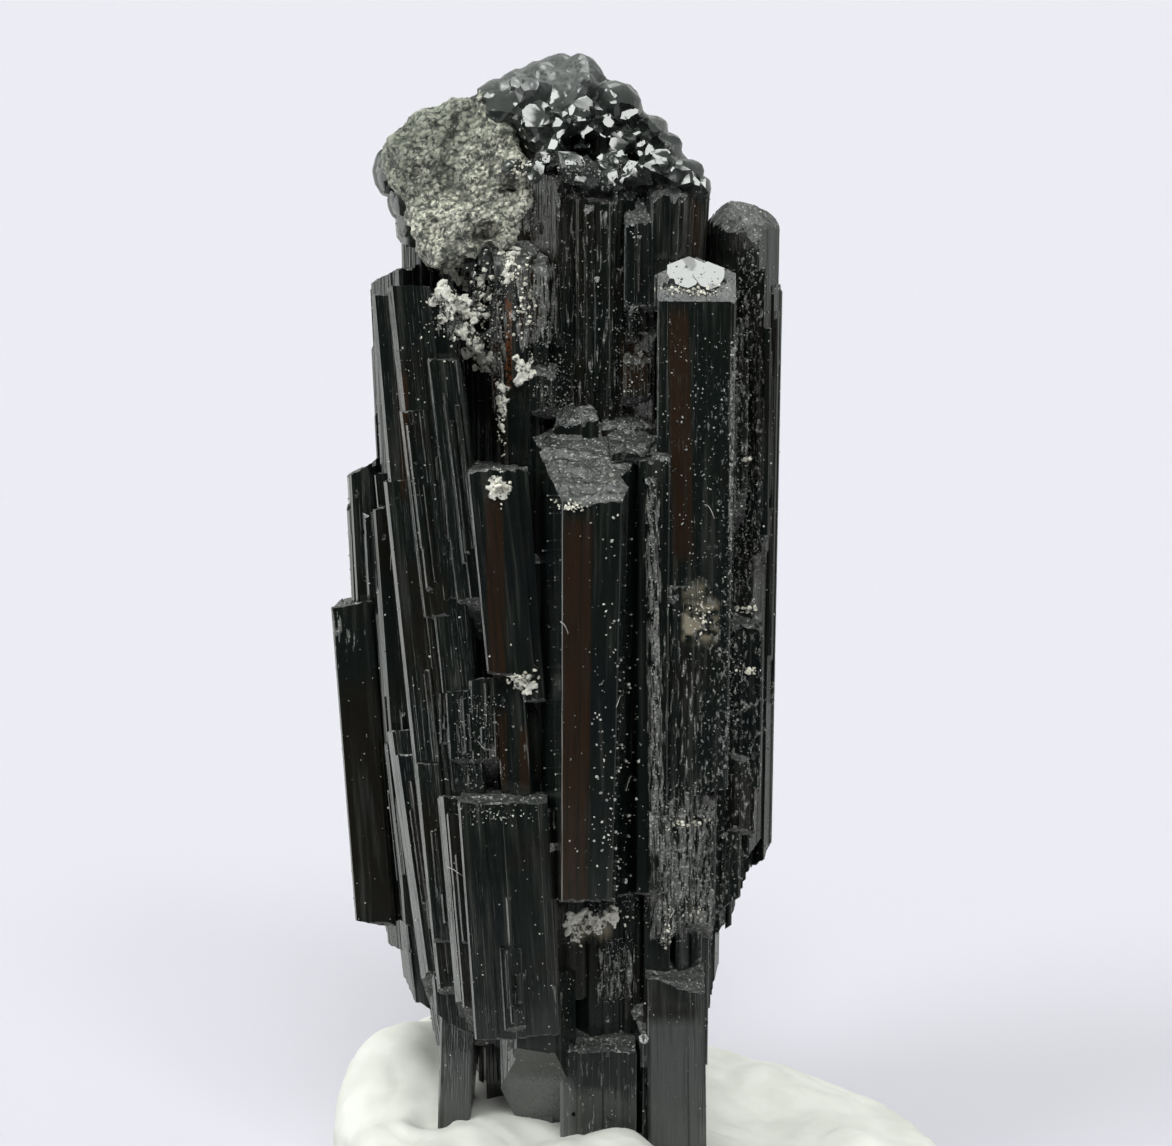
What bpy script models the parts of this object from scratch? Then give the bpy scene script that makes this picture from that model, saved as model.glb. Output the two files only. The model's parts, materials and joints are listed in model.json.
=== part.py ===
"""Tourmaline specimen: a parallel cluster of striated black prisms, a crust of mica, and its putty foot.

The origin is on the underside of the foot, in the middle of its outline. +Z runs up the prisms, and the
side of the cluster with the stepped front column faces -Y.
"""

from collections import namedtuple
from math import cos, pi, radians, sin, tanh
from random import Random

import bmesh
import bpy
from mathutils import Vector

MM = 0.001
FRONT, LEFT, BACK, RIGHT = 270, 180, 90, 0  # azimuths in degrees, in plan
FIT_GAP = 0.35  # mm of air between the prisms and what is moulded or grown round them
RHOMB_TILT = 27  # degrees: the rhombohedral end faces lean this far from level
CORNER_WANDER = 0.06  # how far a prism's corners stray from a regular outline, as a share
TIP_CORNER = 0.22  # the two lesser end faces start this share of a prism's width above its axis
DOME_RINGS = ((8, 1), (34, 5), (60, 7))  # a rounded top's faces: how far each ring leans, and its count
DOME_HEIGHT = 0.42  # of a rounded top, as a share of the prism's width
DOME_WANDER = 6  # degrees that each of its faces may stray
SPARE = 10  # mm that a prism runs past both its ends before they are cut
WELD = 0.002  # mm: corners closer than this are one

# The putty foot.
FOOT_HALF_X = 11.9
FOOT_HALF_Y = 10.0
# Its levels: how wide as a share of the half widths, and how high as a share of its top's height.
FOOT_RINGS = ((0.95, 0.0), (1.0, 0.2), (0.985, 0.5), (0.93, 0.75), (0.82, 0.92), (0.6, 0.99), (0.3, 1.0))
FOOT_POINTS = 48
FOOT_MID_HEIGHT = 3.6
FOOT_HEIGHT_SWING = 1.6  # the pad is this much higher on its left, and as much lower on its right
FOOT_SWING_WIDTH = 4.0
FOOT_RISE_BACK = 0.1  # dz/dy of its top

# One prism: x is its axis at half height, face is the y of its foremost edge, lean is dx/dz, turn is the
# angle of its first corner, tip and butt are the end faces as (azimuth, tilt), and taper is the width of
# its lower end as a share of the upper. A tip of "dome" is a rounded top of many small faces.
Prism = namedtuple("Prism", "name x face width depth low high lean turn sides tip butt taper")

PRISMS = (
    # the stepped front
    Prism("front_column", -1.72, -6.3, 4.4, 6.0, 13.2, 30.4, -0.01, 30, 6, (FRONT, 29), (FRONT, 14), 0.84),
    Prism("column_step", 0.4, -4.95, 1.2, 3.0, 13.4, 30.6, 0.0, 12, 6, (FRONT, 20), (FRONT, 14), 1.0),
    Prism("front_wall", -3.3, -4.1, 5.4, 4.0, 9.0, 26.8, -0.02, 12, 8, (FRONT, 20), (FRONT, 8), 0.95),
    Prism("front_blade", -4.75, -5.2, 2.1, 4.2, 21.4, 29.3, -0.08, 18, 6, (200, 12), (250, 20), 1.0),
    Prism("front_blade_low", -4.45, -4.8, 2.2, 4.2, 15.8, 21.8, -0.08, 24, 6, (FRONT, 20), (FRONT, 10), 1.0),
    Prism("lower_front", -5.0, -5.7, 3.9, 5.0, 8.1, 17.6, -0.10, 22, 7, (FRONT, 14), (300, 12), 0.9),
    Prism("left_front", -7.05, -4.0, 2.8, 4.6, 7.6, 33.9, -0.06, 10, 7, (220, 24), (190, 30), 0.9),
    Prism("left_front_rib", -6.2, -4.7, 1.3, 3.2, 9.0, 27.0, -0.085, 40, 5, (200, 30), (190, 30), 1.0),
    Prism("left_shoulder", -8.5, -1.8, 2.2, 4.6, 21.5, 35.4, -0.03, 12, 6, (170, 30), (190, 40), 1.0),
    Prism("left_flake", -9.2, -0.9, 0.7, 2.0, 29.6, 32.1, -0.02, 0, 5, (180, 50), (180, 50), 1.0),
    Prism("left_step", -9.75, -1.3, 1.6, 4.4, 11.8, 28.3, -0.03, 25, 6, (175, 32), (200, 30), 1.0),
    Prism("left_sliver", -10.3, -0.6, 0.8, 1.8, 22.2, 26.4, -0.02, 0, 5, (180, 58), (180, 40), 1.0),
    Prism("left_outer", -9.9, -1.6, 2.0, 4.2, 11.3, 23.5, -0.05, 14, 6, (160, 18), (190, 8), 1.0),
    Prism("left_foot", -9.2, -1.4, 1.5, 4.0, 9.8, 18.0, -0.06, 20, 6, (180, 20), (200, 25), 1.0),
    Prism("left_low", -8.35, -2.4, 2.1, 4.2, 7.8, 18.0, -0.08, 33, 6, (180, 25), (190, 40), 0.9),
    Prism("left_low_front", -7.5, -3.6, 1.9, 4.4, 6.2, 16.0, -0.10, 15, 6, (200, 28), (200, 35), 0.85),
    # what reaches down into the foot
    Prism("prong_left", -6.65, -3.4, 1.8, 2.8, 3.2, 10.0, 0.02, 35, 6, (LEFT, 20), (FRONT, 8), 1.0),
    Prism("prong_back", -5.5, -1.9, 1.6, 3.2, 3.0, 10.0, 0.0, 10, 5, (LEFT, 20), (FRONT, 10), 1.0),
    Prism("prong_chisel", -4.05, -4.9, 2.4, 3.6, 3.6, 10.6, 0.0, 22, 6, (BACK, 20), (FRONT, 34), 1.0),
    Prism("lower_middle", -1.35, -4.2, 4.2, 4.6, 3.4, 8.1, 0.0, 0, 8, (FRONT, 16), (FRONT, 6), 1.0),
    Prism("recessed_wall", -1.3, -3.6, 4.0, 4.6, 6.0, 14.4, 0.0, 12, 7, (FRONT, 12), (FRONT, 6), 1.0),
    Prism("right_foot", 1.42, -4.7, 2.15, 4.4, 1.9, 10.9, -0.02, 12, 6, (320, 16), (FRONT, 5), 1.0),
    # the right side
    Prism("middle_right", 1.05, -4.5, 2.5, 5.2, 11.4, 26.2, 0.0, 35, 6, (FRONT, 22), (300, 25), 1.0),
    Prism("right_front", 1.8, -4.3, 3.0, 5.4, 17.2, 35.6, 0.0, 26, 6, (FRONT, 32), (310, 20), 0.95),
    Prism("right_outer", 3.45, -2.3, 2.75, 5.6, 13.8, 37.6, 0.0, 20, 8, (10, 20), (350, 26), 1.0),
    Prism("right_edge", 4.5, -0.8, 0.9, 3.0, 13.4, 35.4, 0.0, 8, 6, (0, 48), (0, 48), 1.0),
    Prism("right_low_outer", 3.05, -2.8, 2.2, 4.6, 12.4, 20.4, 0.0, 30, 6, (10, 25), (0, 35), 1.0),
    Prism("right_low_step", 2.6, -2.6, 1.9, 4.2, 11.2, 18.4, 0.0, 18, 6, (20, 25), (0, 30), 1.0),
    Prism("right_low_inner", 1.7, -3.0, 1.9, 4.0, 10.5, 20.4, 0.0, 40, 5, (350, 20), (0, 40), 1.0),
    # the upper wall and the crown
    Prism("centre_wall", -1.6, -2.7, 5.0, 5.0, 28.0, 39.8, 0.0, 10, 8, (FRONT, 30), (FRONT, 8), 1.0),
    Prism("wall_step_low", -0.3, -3.3, 2.4, 3.2, 28.0, 31.4, 0.0, 30, 6, (FRONT, 25), (FRONT, 8), 1.0),
    Prism("wall_step_high", 0.1, -2.95, 1.6, 3.2, 29.0, 34.6, 0.0, 14, 6, (FRONT, 30), (FRONT, 8), 1.0),
    Prism("centre_left", -4.35, -3.4, 2.1, 4.6, 26.0, 37.4, -0.03, 16, 6, (FRONT, 30), (FRONT, 10), 1.0),
    Prism("brown_prism", 0.95, -3.2, 2.7, 4.4, 35.0, 39.4, 0.02, 12, 8, "dome", (320, 22), 0.9),
    Prism("crown_shoulder", 0.75, -1.2, 1.7, 4.0, 34.0, 40.2, 0.0, 10, 7, "dome", (FRONT, 10), 1.0),
    Prism("crown_small", 0.05, -1.2, 1.4, 3.8, 34.0, 41.1, 0.0, 33, 6, "dome", (FRONT, 10), 1.0),
    Prism("crown_right", -1.35, -1.7, 2.5, 4.6, 34.0, 42.4, 0.0, 22, 7, "dome", (FRONT, 10), 1.0),
    Prism("crown_main", -3.15, -1.5, 3.9, 5.6, 33.0, 43.1, 0.0, 14, 8, "dome", (FRONT, 10), 1.0),
    Prism("crown_front", -3.1, -2.6, 2.6, 3.4, 33.0, 40.6, 0.0, 30, 7, "dome", (FRONT, 10), 1.0),
    Prism("crown_left", -4.9, -0.7, 2.2, 3.6, 33.0, 41.9, 0.0, 5, 7, "dome", (FRONT, 10), 1.0),
    Prism("upper_left", -6.7, -0.9, 3.9, 5.0, 26.0, 40.9, 0.0, 20, 7, (195, 20), (LEFT, 20), 1.0),
    Prism("left_knob", -8.75, -0.7, 1.3, 2.4, 38.5, 40.1, 0.0, 12, 7, "dome", (200, 38), 0.8),
    Prism("left_knob_lower", -8.1, -1.7, 1.7, 3.4, 36.2, 39.3, 0.0, 25, 7, "dome", (200, 40), 0.8),
    Prism("left_neck", -7.9, -1.2, 1.4, 3.2, 34.0, 37.4, 0.0, 10, 6, (LEFT, 20), (LEFT, 20), 1.0),
    # the back
    Prism("back_left", -7.2, 0.3, 4.0, 4.0, 9.2, 32.6, -0.04, 15, 7, (140, 27), (150, 30), 0.9),
    Prism("back_middle_left", -5.5, 0.6, 4.6, 5.2, 3.0, 37.8, -0.02, 28, 7, (110, 27), (100, 8), 0.95),
    Prism("back_middle", -2.2, 0.4, 5.0, 5.7, 2.7, 40.4, 0.0, 8, 8, (80, 27), (90, 6), 0.95),
    Prism("back_right", 1.1, 0.4, 4.4, 4.9, 6.8, 36.2, 0.0, 20, 7, (60, 27), (50, 28), 0.95),
    Prism("back_outer", 3.2, 0.6, 2.8, 3.2, 15.2, 31.0, 0.0, 12, 6, (30, 27), (30, 35), 1.0),
    Prism("back_blade_left", -7.3, 2.6, 1.9, 2.5, 13.6, 26.2, -0.03, 30, 6, (120, 27), (120, 30), 1.0),
    Prism("back_blade_middle", -4.1, 3.6, 2.1, 2.7, 11.0, 27.6, -0.01, 24, 6, (90, 27), (90, 25), 1.0),
    Prism("back_blade_right", -0.5, 3.5, 2.3, 3.1, 15.8, 33.4, 0.0, 35, 6, (70, 27), (80, 30), 1.0),
    Prism("back_blade_outer", 1.9, 2.7, 1.9, 2.8, 9.6, 24.4, 0.0, 10, 6, (50, 27), (40, 30), 1.0),
    Prism("back_stub", -3.0, 4.7, 1.5, 1.7, 18.4, 36.0, 0.0, 15, 5, (90, 27), (90, 40), 1.0),
    Prism("back_foot", -3.3, 1.6, 3.6, 3.4, 2.3, 13.4, 0.0, 30, 6, (90, 27), (90, 8), 1.0),
    # the bundle's middle, which they all grow against
    Prism("core_low", -2.6, -3.1, 6.6, 6.4, 3.9, 30.0, 0.0, 12, 8, (BACK, 10), (FRONT, 5), 1.0),
    Prism("core_high", -3.2, -2.2, 6.8, 5.4, 20.0, 38.4, 0.0, 12, 8, (BACK, 10), (FRONT, 5), 1.0),
    Prism("core_left", -7.2, -2.4, 3.6, 5.2, 9.6, 33.0, -0.05, 12, 8, (BACK, 10), (LEFT, 25), 0.9),
    Prism("core_right", 1.7, -3.0, 3.6, 5.6, 12.2, 34.2, 0.0, 12, 8, (BACK, 10), (RIGHT, 25), 1.0),
)

# The mica crust's outline as seen from the front, as (x, z), clockwise from its upper left.
MICA_OUTLINE = (
    (-8.9, 40.3), (-7.75, 41.35), (-6.0, 41.8), (-5.35, 41.85), (-4.5, 40.6), (-4.2, 39.6), (-3.9, 38.6),
    (-3.7, 38.1), (-4.4, 37.6), (-4.6, 36.3), (-6.0, 36.1), (-7.0, 35.4), (-7.8, 35.7), (-8.0, 37.1),
    (-8.5, 38.6), (-9.05, 39.4),
)
MICA_FRONT = -3.3  # y of its face at its lower end
MICA_BACK = 1.6
MICA_SLOPE = 0.28  # dy/dz: the face lies back towards the top
MICA_EDGE = 0.35

COLOURS = {  # base colour, roughness
    "tourmaline_cluster": ((0.012, 0.013, 0.012), 0.22),
    "mica_crust": ((0.30, 0.31, 0.24), 0.75),
    "putty_foot": ((0.86, 0.85, 0.82), 0.6),
}


def clear_scene():
    for thing in list(bpy.data.objects):
        bpy.data.objects.remove(thing)


def object_of(name, shape):
    """A new object that holds a bmesh, whose lengths are in mm."""
    bmesh.ops.scale(shape, vec=(MM, MM, MM), verts=shape.verts)
    mesh = bpy.data.meshes.new(name)
    shape.to_mesh(mesh)
    shape.free()
    thing = bpy.data.objects.new(name, mesh)
    bpy.context.scene.collection.objects.link(thing)
    return thing


def outline(prism, grow):
    """The corners of the prism's cross-section in plan, as wide and as deep as the prism says."""
    chance = Random(prism.name)
    corners = []
    for side in range(prism.sides):
        angle = radians(prism.turn) + 2 * pi * side / prism.sides
        reach = 1 + chance.uniform(-CORNER_WANDER, CORNER_WANDER)
        corners.append(Vector((reach * cos(angle), reach * sin(angle))))
    low = [min(corner[axis] for corner in corners) for axis in (0, 1)]
    high = [max(corner[axis] for corner in corners) for axis in (0, 1)]
    size = (prism.width + 2 * grow, prism.depth + 2 * grow)
    scale = [size[axis] / (high[axis] - low[axis]) for axis in (0, 1)]
    start = (-size[0] / 2, prism.face - grow)
    return [[start[axis] + scale[axis] * (corner[axis] - low[axis]) for axis in (0, 1)] for corner in corners]


def cut(shape, point, normal):
    """Takes away what lies beyond a plane, and closes the cut with a flat face."""
    everything = shape.verts[:] + shape.edges[:] + shape.faces[:]
    made = bmesh.ops.bisect_plane(
        shape, geom=everything, plane_co=point, plane_no=normal, dist=1e-5, clear_outer=True
    )
    rim = [item for item in made["geom_cut"] if isinstance(item, bmesh.types.BMEdge)]
    bmesh.ops.holes_fill(shape, edges=rim, sides=0)


def leaning(azimuth, tilt, up=1):
    """The normal of an end face that leans `tilt` degrees from level towards an azimuth."""
    flat = sin(radians(tilt))
    return Vector((flat * cos(radians(azimuth)), flat * sin(radians(azimuth)), up * cos(radians(tilt))))


def cut_tip(shape, prism, axis_top):
    """One wide end face and two that only take the corners off, as on a worn three-sided pyramid."""
    azimuth, tilt = prism.tip
    cut(shape, axis_top, leaning(azimuth, tilt))
    spare = Vector((0, 0, TIP_CORNER * min(prism.width, prism.depth)))
    for turn in (120, 240):
        cut(shape, axis_top + spare, leaning(azimuth + turn, max(tilt, RHOMB_TILT)))


def cut_dome(shape, prism, axis_top):
    """A rounded top: rings of faces that touch an ellipsoid as wide as the prism."""
    chance = Random(prism.name + " dome")
    half = Vector((prism.width / 2, prism.depth / 2, DOME_HEIGHT * min(prism.width, prism.depth)))
    centre = axis_top - Vector((0, 0, half.z))
    for tilt, count in DOME_RINGS:
        first = chance.uniform(0, 360)
        for side in range(count):
            normal = leaning(first + 360 * side / count, tilt + chance.uniform(-DOME_WANDER, DOME_WANDER))
            touch = Vector([normal[axis] * half[axis] ** 2 for axis in range(3)])
            reach = sum((normal[axis] * half[axis]) ** 2 for axis in range(3)) ** 0.5
            cut(shape, centre + touch / reach, normal)


def prism_object(prism, grow=0.0):
    """The prism as an object, made `grow` mm larger all round when it serves as a cutter."""
    shape = bmesh.new()
    ring = [shape.verts.new((x, y, prism.low - SPARE)) for x, y in outline(prism, grow)]
    base = shape.faces.new(ring)
    raised = bmesh.ops.extrude_face_region(shape, geom=[base])["geom"]
    top = [item for item in raised if isinstance(item, bmesh.types.BMVert)]
    length = prism.high - prism.low
    bmesh.ops.translate(shape, vec=(0, 0, length + 2 * SPARE), verts=top)
    bmesh.ops.recalc_face_normals(shape, faces=shape.faces)
    middle = (prism.low + prism.high) / 2
    centre_y = prism.face + prism.depth / 2
    for vertex in shape.verts:
        above = vertex.co.z - middle
        share_up = max(0, min(1, above / length + 0.5))
        narrow = prism.taper + (1 - prism.taper) * share_up
        vertex.co.x = prism.x + prism.lean * above + vertex.co.x * narrow
        vertex.co.y = centre_y + (vertex.co.y - centre_y) * narrow
    top_middle = Vector((prism.x + prism.lean * length / 2, centre_y, prism.high + grow))
    foot_middle = Vector((prism.x - prism.lean * length / 2, centre_y, prism.low - grow))
    if prism.tip == "dome":
        cut_dome(shape, prism, top_middle)
    else:
        cut_tip(shape, prism, top_middle)
    azimuth, tilt = prism.butt
    cut(shape, foot_middle, leaning(azimuth, tilt, up=-1))
    return object_of(prism.name + ("_cutter" if grow else "_prism"), shape)


def helpers(name, things):
    """Puts objects in a collection that shows as wire only and stays out of the part."""
    group = bpy.data.collections.new(name)
    bpy.context.scene.collection.children.link(group)
    for thing in things:
        bpy.context.scene.collection.objects.unlink(thing)
        group.objects.link(thing)
        thing.hide_render = True
        thing.display_type = "WIRE"
    return group


def combine(thing, group, operation):
    """Applies one Boolean of the object with every object of a collection."""
    boolean = thing.modifiers.new("with " + group.name, "BOOLEAN")
    boolean.operation = operation
    boolean.operand_type = "COLLECTION"
    boolean.collection = group
    boolean.solver = "EXACT"
    boolean.use_self = True
    graph = bpy.context.evaluated_depsgraph_get()
    mesh = bpy.data.meshes.new_from_object(thing.evaluated_get(graph))
    thing.modifiers.clear()
    thing.data = mesh


def keep_outer_shell(thing):
    """Deletes the closed pockets and crumbs that a Boolean left, and keeps the one large body."""
    shape = bmesh.new()
    shape.from_mesh(thing.data)
    bmesh.ops.remove_doubles(shape, verts=shape.verts, dist=WELD * MM)
    unseen = set(shape.verts)
    bodies = []
    while unseen:
        body = {unseen.pop()}
        edge_of_search = list(body)
        while edge_of_search:
            vertex = edge_of_search.pop()
            for edge in vertex.link_edges:
                other = edge.other_vert(vertex)
                if other in unseen:
                    unseen.discard(other)
                    body.add(other)
                    edge_of_search.append(other)
        bodies.append(body)
    largest = max(bodies, key=len)
    bmesh.ops.delete(shape, geom=[v for v in shape.verts if v not in largest], context="VERTS")
    bmesh.ops.triangulate(shape, faces=shape.faces)
    shape.to_mesh(thing.data)
    shape.free()


def finish(thing, name):
    """Names a node and gives it its own material."""
    thing.name = name
    thing.data.name = name
    colour, roughness = COLOURS[name]
    material = bpy.data.materials.new(name)
    material.use_nodes = True
    surface = material.node_tree.nodes["Principled BSDF"]
    surface.inputs["Base Color"].default_value = (*colour, 1)
    surface.inputs["Roughness"].default_value = roughness
    surface.inputs["Metallic"].default_value = 0
    material.diffuse_color = (*colour, 1)
    thing.data.materials.clear()
    thing.data.materials.append(material)


def tourmaline_cluster():
    """All the prisms in one solid, as they grew."""
    core = prism_object(PRISMS[-1])
    others = helpers("prisms", [prism_object(prism) for prism in PRISMS[:-1]])
    combine(core, others, "UNION")
    keep_outer_shell(core)
    finish(core, "tourmaline_cluster")


def mica_crust(cutters):
    """The crust that fills the step at the upper left: a slab that follows the prisms behind it."""
    shape = bmesh.new()
    ring = [shape.verts.new((x, MICA_FRONT, z)) for x, z in MICA_OUTLINE]
    face = shape.faces.new(ring)
    moved = bmesh.ops.extrude_face_region(shape, geom=[face])["geom"]
    back = [item for item in moved if isinstance(item, bmesh.types.BMVert)]
    bmesh.ops.translate(shape, vec=(0, MICA_BACK - MICA_FRONT, 0), verts=back)
    bmesh.ops.recalc_face_normals(shape, faces=shape.faces)
    lowest = min(z for _, z in MICA_OUTLINE)
    for vertex in shape.verts:
        if vertex.co.y < MICA_BACK - 0.1:
            vertex.co.y += MICA_SLOPE * (vertex.co.z - lowest)
    rim = [edge for edge in shape.edges if all(v.co.y < MICA_BACK - 0.1 for v in edge.verts)]
    bmesh.ops.bevel(shape, geom=rim, offset=MICA_EDGE, segments=2, profile=0.5, affect="EDGES", material=-1)
    crust = object_of("mica_slab", shape)
    combine(crust, cutters, "DIFFERENCE")
    keep_outer_shell(crust)
    finish(crust, "mica_crust")


def foot_top(x, y):
    """Height of the pad's top, which falls from left to right and from back to front."""
    return FOOT_MID_HEIGHT - FOOT_HEIGHT_SWING * tanh(x / FOOT_SWING_WIDTH) + FOOT_RISE_BACK * y


def foot_ring(shape, share, rise, capped):
    """One level of the pad: an ellipse whose points rise with the pad's top. Returns its edges."""
    made = bmesh.ops.create_circle(shape, cap_ends=capped, segments=FOOT_POINTS, radius=share)["verts"]
    for vertex in made:
        x = vertex.co.x * FOOT_HALF_X
        y = vertex.co.y * FOOT_HALF_Y
        vertex.co = (x, y, rise * foot_top(x, y))
    ring = set(made)
    return [edge for edge in shape.edges if all(vertex in ring for vertex in edge.verts)]


def putty_foot(cutters):
    """A pressed pad of putty with a flat underside, and a socket in the shape of the prisms it holds."""
    shape = bmesh.new()
    lower = None
    for share, rise in FOOT_RINGS:
        capped = (share, rise) in (FOOT_RINGS[0], FOOT_RINGS[-1])
        upper = foot_ring(shape, share, rise, capped)
        if lower:
            bmesh.ops.bridge_loops(shape, edges=lower + upper)
        lower = upper
    bmesh.ops.recalc_face_normals(shape, faces=shape.faces)
    pad = object_of("putty_pad", shape)
    combine(pad, cutters, "DIFFERENCE")
    keep_outer_shell(pad)
    finish(pad, "putty_foot")


def main():
    clear_scene()
    tourmaline_cluster()
    crest = FOOT_MID_HEIGHT + FOOT_HEIGHT_SWING
    in_foot = [prism for prism in PRISMS if prism.low < crest + 1.0]
    beside_mica = [prism for prism in PRISMS if prism.high > min(z for _, z in MICA_OUTLINE) - 1.0]
    foot_cutters = [prism_object(prism, FIT_GAP) for prism in in_foot]
    mica_cutters = [prism_object(prism, FIT_GAP) for prism in beside_mica]
    putty_foot(helpers("socket cutters", foot_cutters))
    mica_crust(helpers("mica cutters", mica_cutters))


main()
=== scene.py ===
# %% [markdown]
# # A black tourmaline in its putty foot
#
# The object is a small mineral specimen: a bundle of black tourmaline prisms that grew side by side, a
# crust of grey-green mica on its shoulder, and the lump of white putty that it is pressed into so that it
# stands. Lengths are in millimetres until a piece is finished, because the whole specimen is only 43 mm
# tall.

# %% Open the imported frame
import json
from collections import namedtuple
from math import atan2, cos, degrees, pi, radians, sin, tan
from random import Random

import bmesh
import bpy
from mathutils import Matrix, Vector, noise
from mathutils.bvhtree import BVHTree

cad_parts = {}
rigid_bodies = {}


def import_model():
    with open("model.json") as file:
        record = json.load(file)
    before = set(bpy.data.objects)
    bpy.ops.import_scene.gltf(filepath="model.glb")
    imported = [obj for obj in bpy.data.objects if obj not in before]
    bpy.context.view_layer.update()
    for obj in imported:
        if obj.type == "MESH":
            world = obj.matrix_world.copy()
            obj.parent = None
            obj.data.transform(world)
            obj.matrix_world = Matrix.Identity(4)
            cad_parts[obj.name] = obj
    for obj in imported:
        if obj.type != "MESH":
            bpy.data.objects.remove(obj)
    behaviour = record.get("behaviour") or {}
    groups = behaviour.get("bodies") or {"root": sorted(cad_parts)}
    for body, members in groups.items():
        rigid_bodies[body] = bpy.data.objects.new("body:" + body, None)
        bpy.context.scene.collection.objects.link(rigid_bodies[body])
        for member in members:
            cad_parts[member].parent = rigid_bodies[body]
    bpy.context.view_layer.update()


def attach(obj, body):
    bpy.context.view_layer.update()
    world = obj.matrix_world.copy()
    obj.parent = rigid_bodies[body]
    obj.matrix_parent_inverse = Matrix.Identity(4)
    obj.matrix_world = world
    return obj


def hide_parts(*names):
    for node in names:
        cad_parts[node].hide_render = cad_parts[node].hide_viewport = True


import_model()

MM = 0.001
FRONT, LEFT, BACK, RIGHT = 270, 180, 90, 0  # azimuths in degrees, in plan

# %% [markdown]
# ## The camera
#
# A close-up of a small thing looks natural through a long lens a hand's width away. The camera looks down
# by 15 degrees. Its near clipping has to be set too: Blender's default of 100 mm would hide the whole
# object.

# %% Place the camera
CAMERA_AT = Vector((-2.04, -91.67, 49.06))
CAMERA_PITCH = 15
LENS_MM = 79.86
CLIP_START_MM = 5

lens = bpy.data.cameras.new("specimen_camera")
lens.lens = LENS_MM
lens.sensor_width = 36
lens.clip_start = CLIP_START_MM * MM
camera = bpy.data.objects.new("specimen_camera", lens)
camera.location = CAMERA_AT * MM
camera.rotation_euler = (radians(90 - CAMERA_PITCH), 0, 0)
bpy.context.scene.collection.objects.link(camera)
bpy.context.scene.camera = camera
bpy.context.scene.view_settings.view_transform = "Standard"
print("camera distance in mm:", round((CAMERA_AT - Vector((-2, 0, 24))).length, 1))

# %% [markdown]
# ## Small helpers
#
# Each piece is drawn in a bmesh in millimetres. One helper turns a bmesh into an object in metres, and
# another cuts a shape with a plane and closes the cut, which is how a crystal's end faces are made.

# %% Make an object from a bmesh
def only(kind, items):
    """The corners, edges or faces among what an operator returns."""
    return [item for item in items if isinstance(item, kind)]


def object_of(name, shape):
    """An object that holds the bmesh, scaled from millimetres to metres."""
    bmesh.ops.scale(shape, vec=(MM, MM, MM), verts=shape.verts)
    mesh = bpy.data.meshes.new(name)
    shape.to_mesh(mesh)
    shape.free()
    thing = bpy.data.objects.new(name, mesh)
    bpy.context.scene.collection.objects.link(thing)
    return thing


# %% Cut a bmesh with a plane
def cut(shape, point, normal):
    """Takes away what lies beyond the plane, and closes the cut with one flat face."""
    everything = shape.verts[:] + shape.edges[:] + shape.faces[:]
    made = bmesh.ops.bisect_plane(
        shape, geom=everything, plane_co=point, plane_no=normal, dist=1e-5, clear_outer=True
    )
    rim = only(bmesh.types.BMEdge, made["geom_cut"])
    bmesh.ops.holes_fill(shape, edges=rim, sides=0)


def leaning(azimuth, tilt, up=1):
    """The normal of an end face that leans `tilt` degrees from level towards an azimuth."""
    flat = sin(radians(tilt))
    return Vector((flat * cos(radians(azimuth)), flat * sin(radians(azimuth)), up * cos(radians(tilt))))


# %% [markdown]
# ## A striated prism
#
# Tourmaline shows fine upright lines, because its side faces grow as stairs: wide flats that all lie in a
# few directions common to the whole crystal, joined by narrow risers that catch the light. A bump texture
# can't give those crisp glints, so each side of the outline is subdivided and its points moved into such
# stairs before the outline is extruded.

# %% Break one side of an outline into stairs
FACE_DIRECTIONS = 30  # degrees between the directions that the flats can lie in
RISER_SLOPE = 0.55  # a riser's width as a share of its depth
SHORTEST_SIDE = 0.3  # mm: a shorter side stays plain
NARROWEST_RISER = 0.004  # mm


def stair_depths(tilt, riser, widths, chance):
    """How far inside the plain side each flat starts and ends."""
    gap_shade_values = []
    for width in widths:
        base = chance.uniform(0, riser)
        drop = abs(tan(tilt)) * width
        gap_shade_values.append((base, base + drop) if tilt > 0 else (base + drop, base))
    return gap_shade_values


def step_side(shape, edge, style, chance):
    """Replaces a straight side of the outline with flats and risers."""
    start = edge.verts[0].co.copy()
    along = edge.verts[1].co - start
    length = along.length
    flats = round(length / style.flat * chance.uniform(0.8, 1.2))
    if length < SHORTEST_SIDE or flats < 2:
        return
    along.normalize()
    inward = Vector((-along.y, along.x, 0))
    turned = inward.dot(start) > 0
    if turned:
        inward.negate()
    azimuth = degrees(atan2(-inward.y, -inward.x))
    nearest = FACE_DIRECTIONS * round(azimuth / FACE_DIRECTIONS)
    tilt = radians(nearest - azimuth) * (-1 if turned else 1)
    shares = [chance.uniform(0.12, 1) ** 2 for _ in range(flats)]
    widths = [length * share / sum(shares) for share in shares]
    gap_shade_values = stair_depths(tilt, style.riser, widths, chance)
    made = bmesh.ops.subdivide_edges(shape, edges=[edge], cuts=2 * (flats - 1))
    corners = only(bmesh.types.BMVert, made["geom_inner"])
    corners.sort(key=lambda corner: (corner.co - start).dot(along))
    reach = 0
    for number in range(flats - 1):
        reach += widths[number]
        before, after = gap_shade_values[number][1], gap_shade_values[number + 1][0]
        half = (RISER_SLOPE * abs(after - before) + NARROWEST_RISER) / 2
        corners[2 * number].co = start + along * (reach - half) + inward * before
        corners[2 * number + 1].co = start + along * (reach + half) + inward * after


# %% [markdown]
# A broken end is not a single plane. Two rows of upright planes divide it into small cells, and noise moves
# the cells' corners down, more along one direction than across it, as the crystal splits along its fibres.
# The faces made here are marked in a face layer that the material reads, because a break is duller than a
# face. Blender doesn't always return an end's corners in the same order, so the noise doesn't always meet
# the same ones, and the small faces of the breaks differ a little from run to run.

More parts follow.
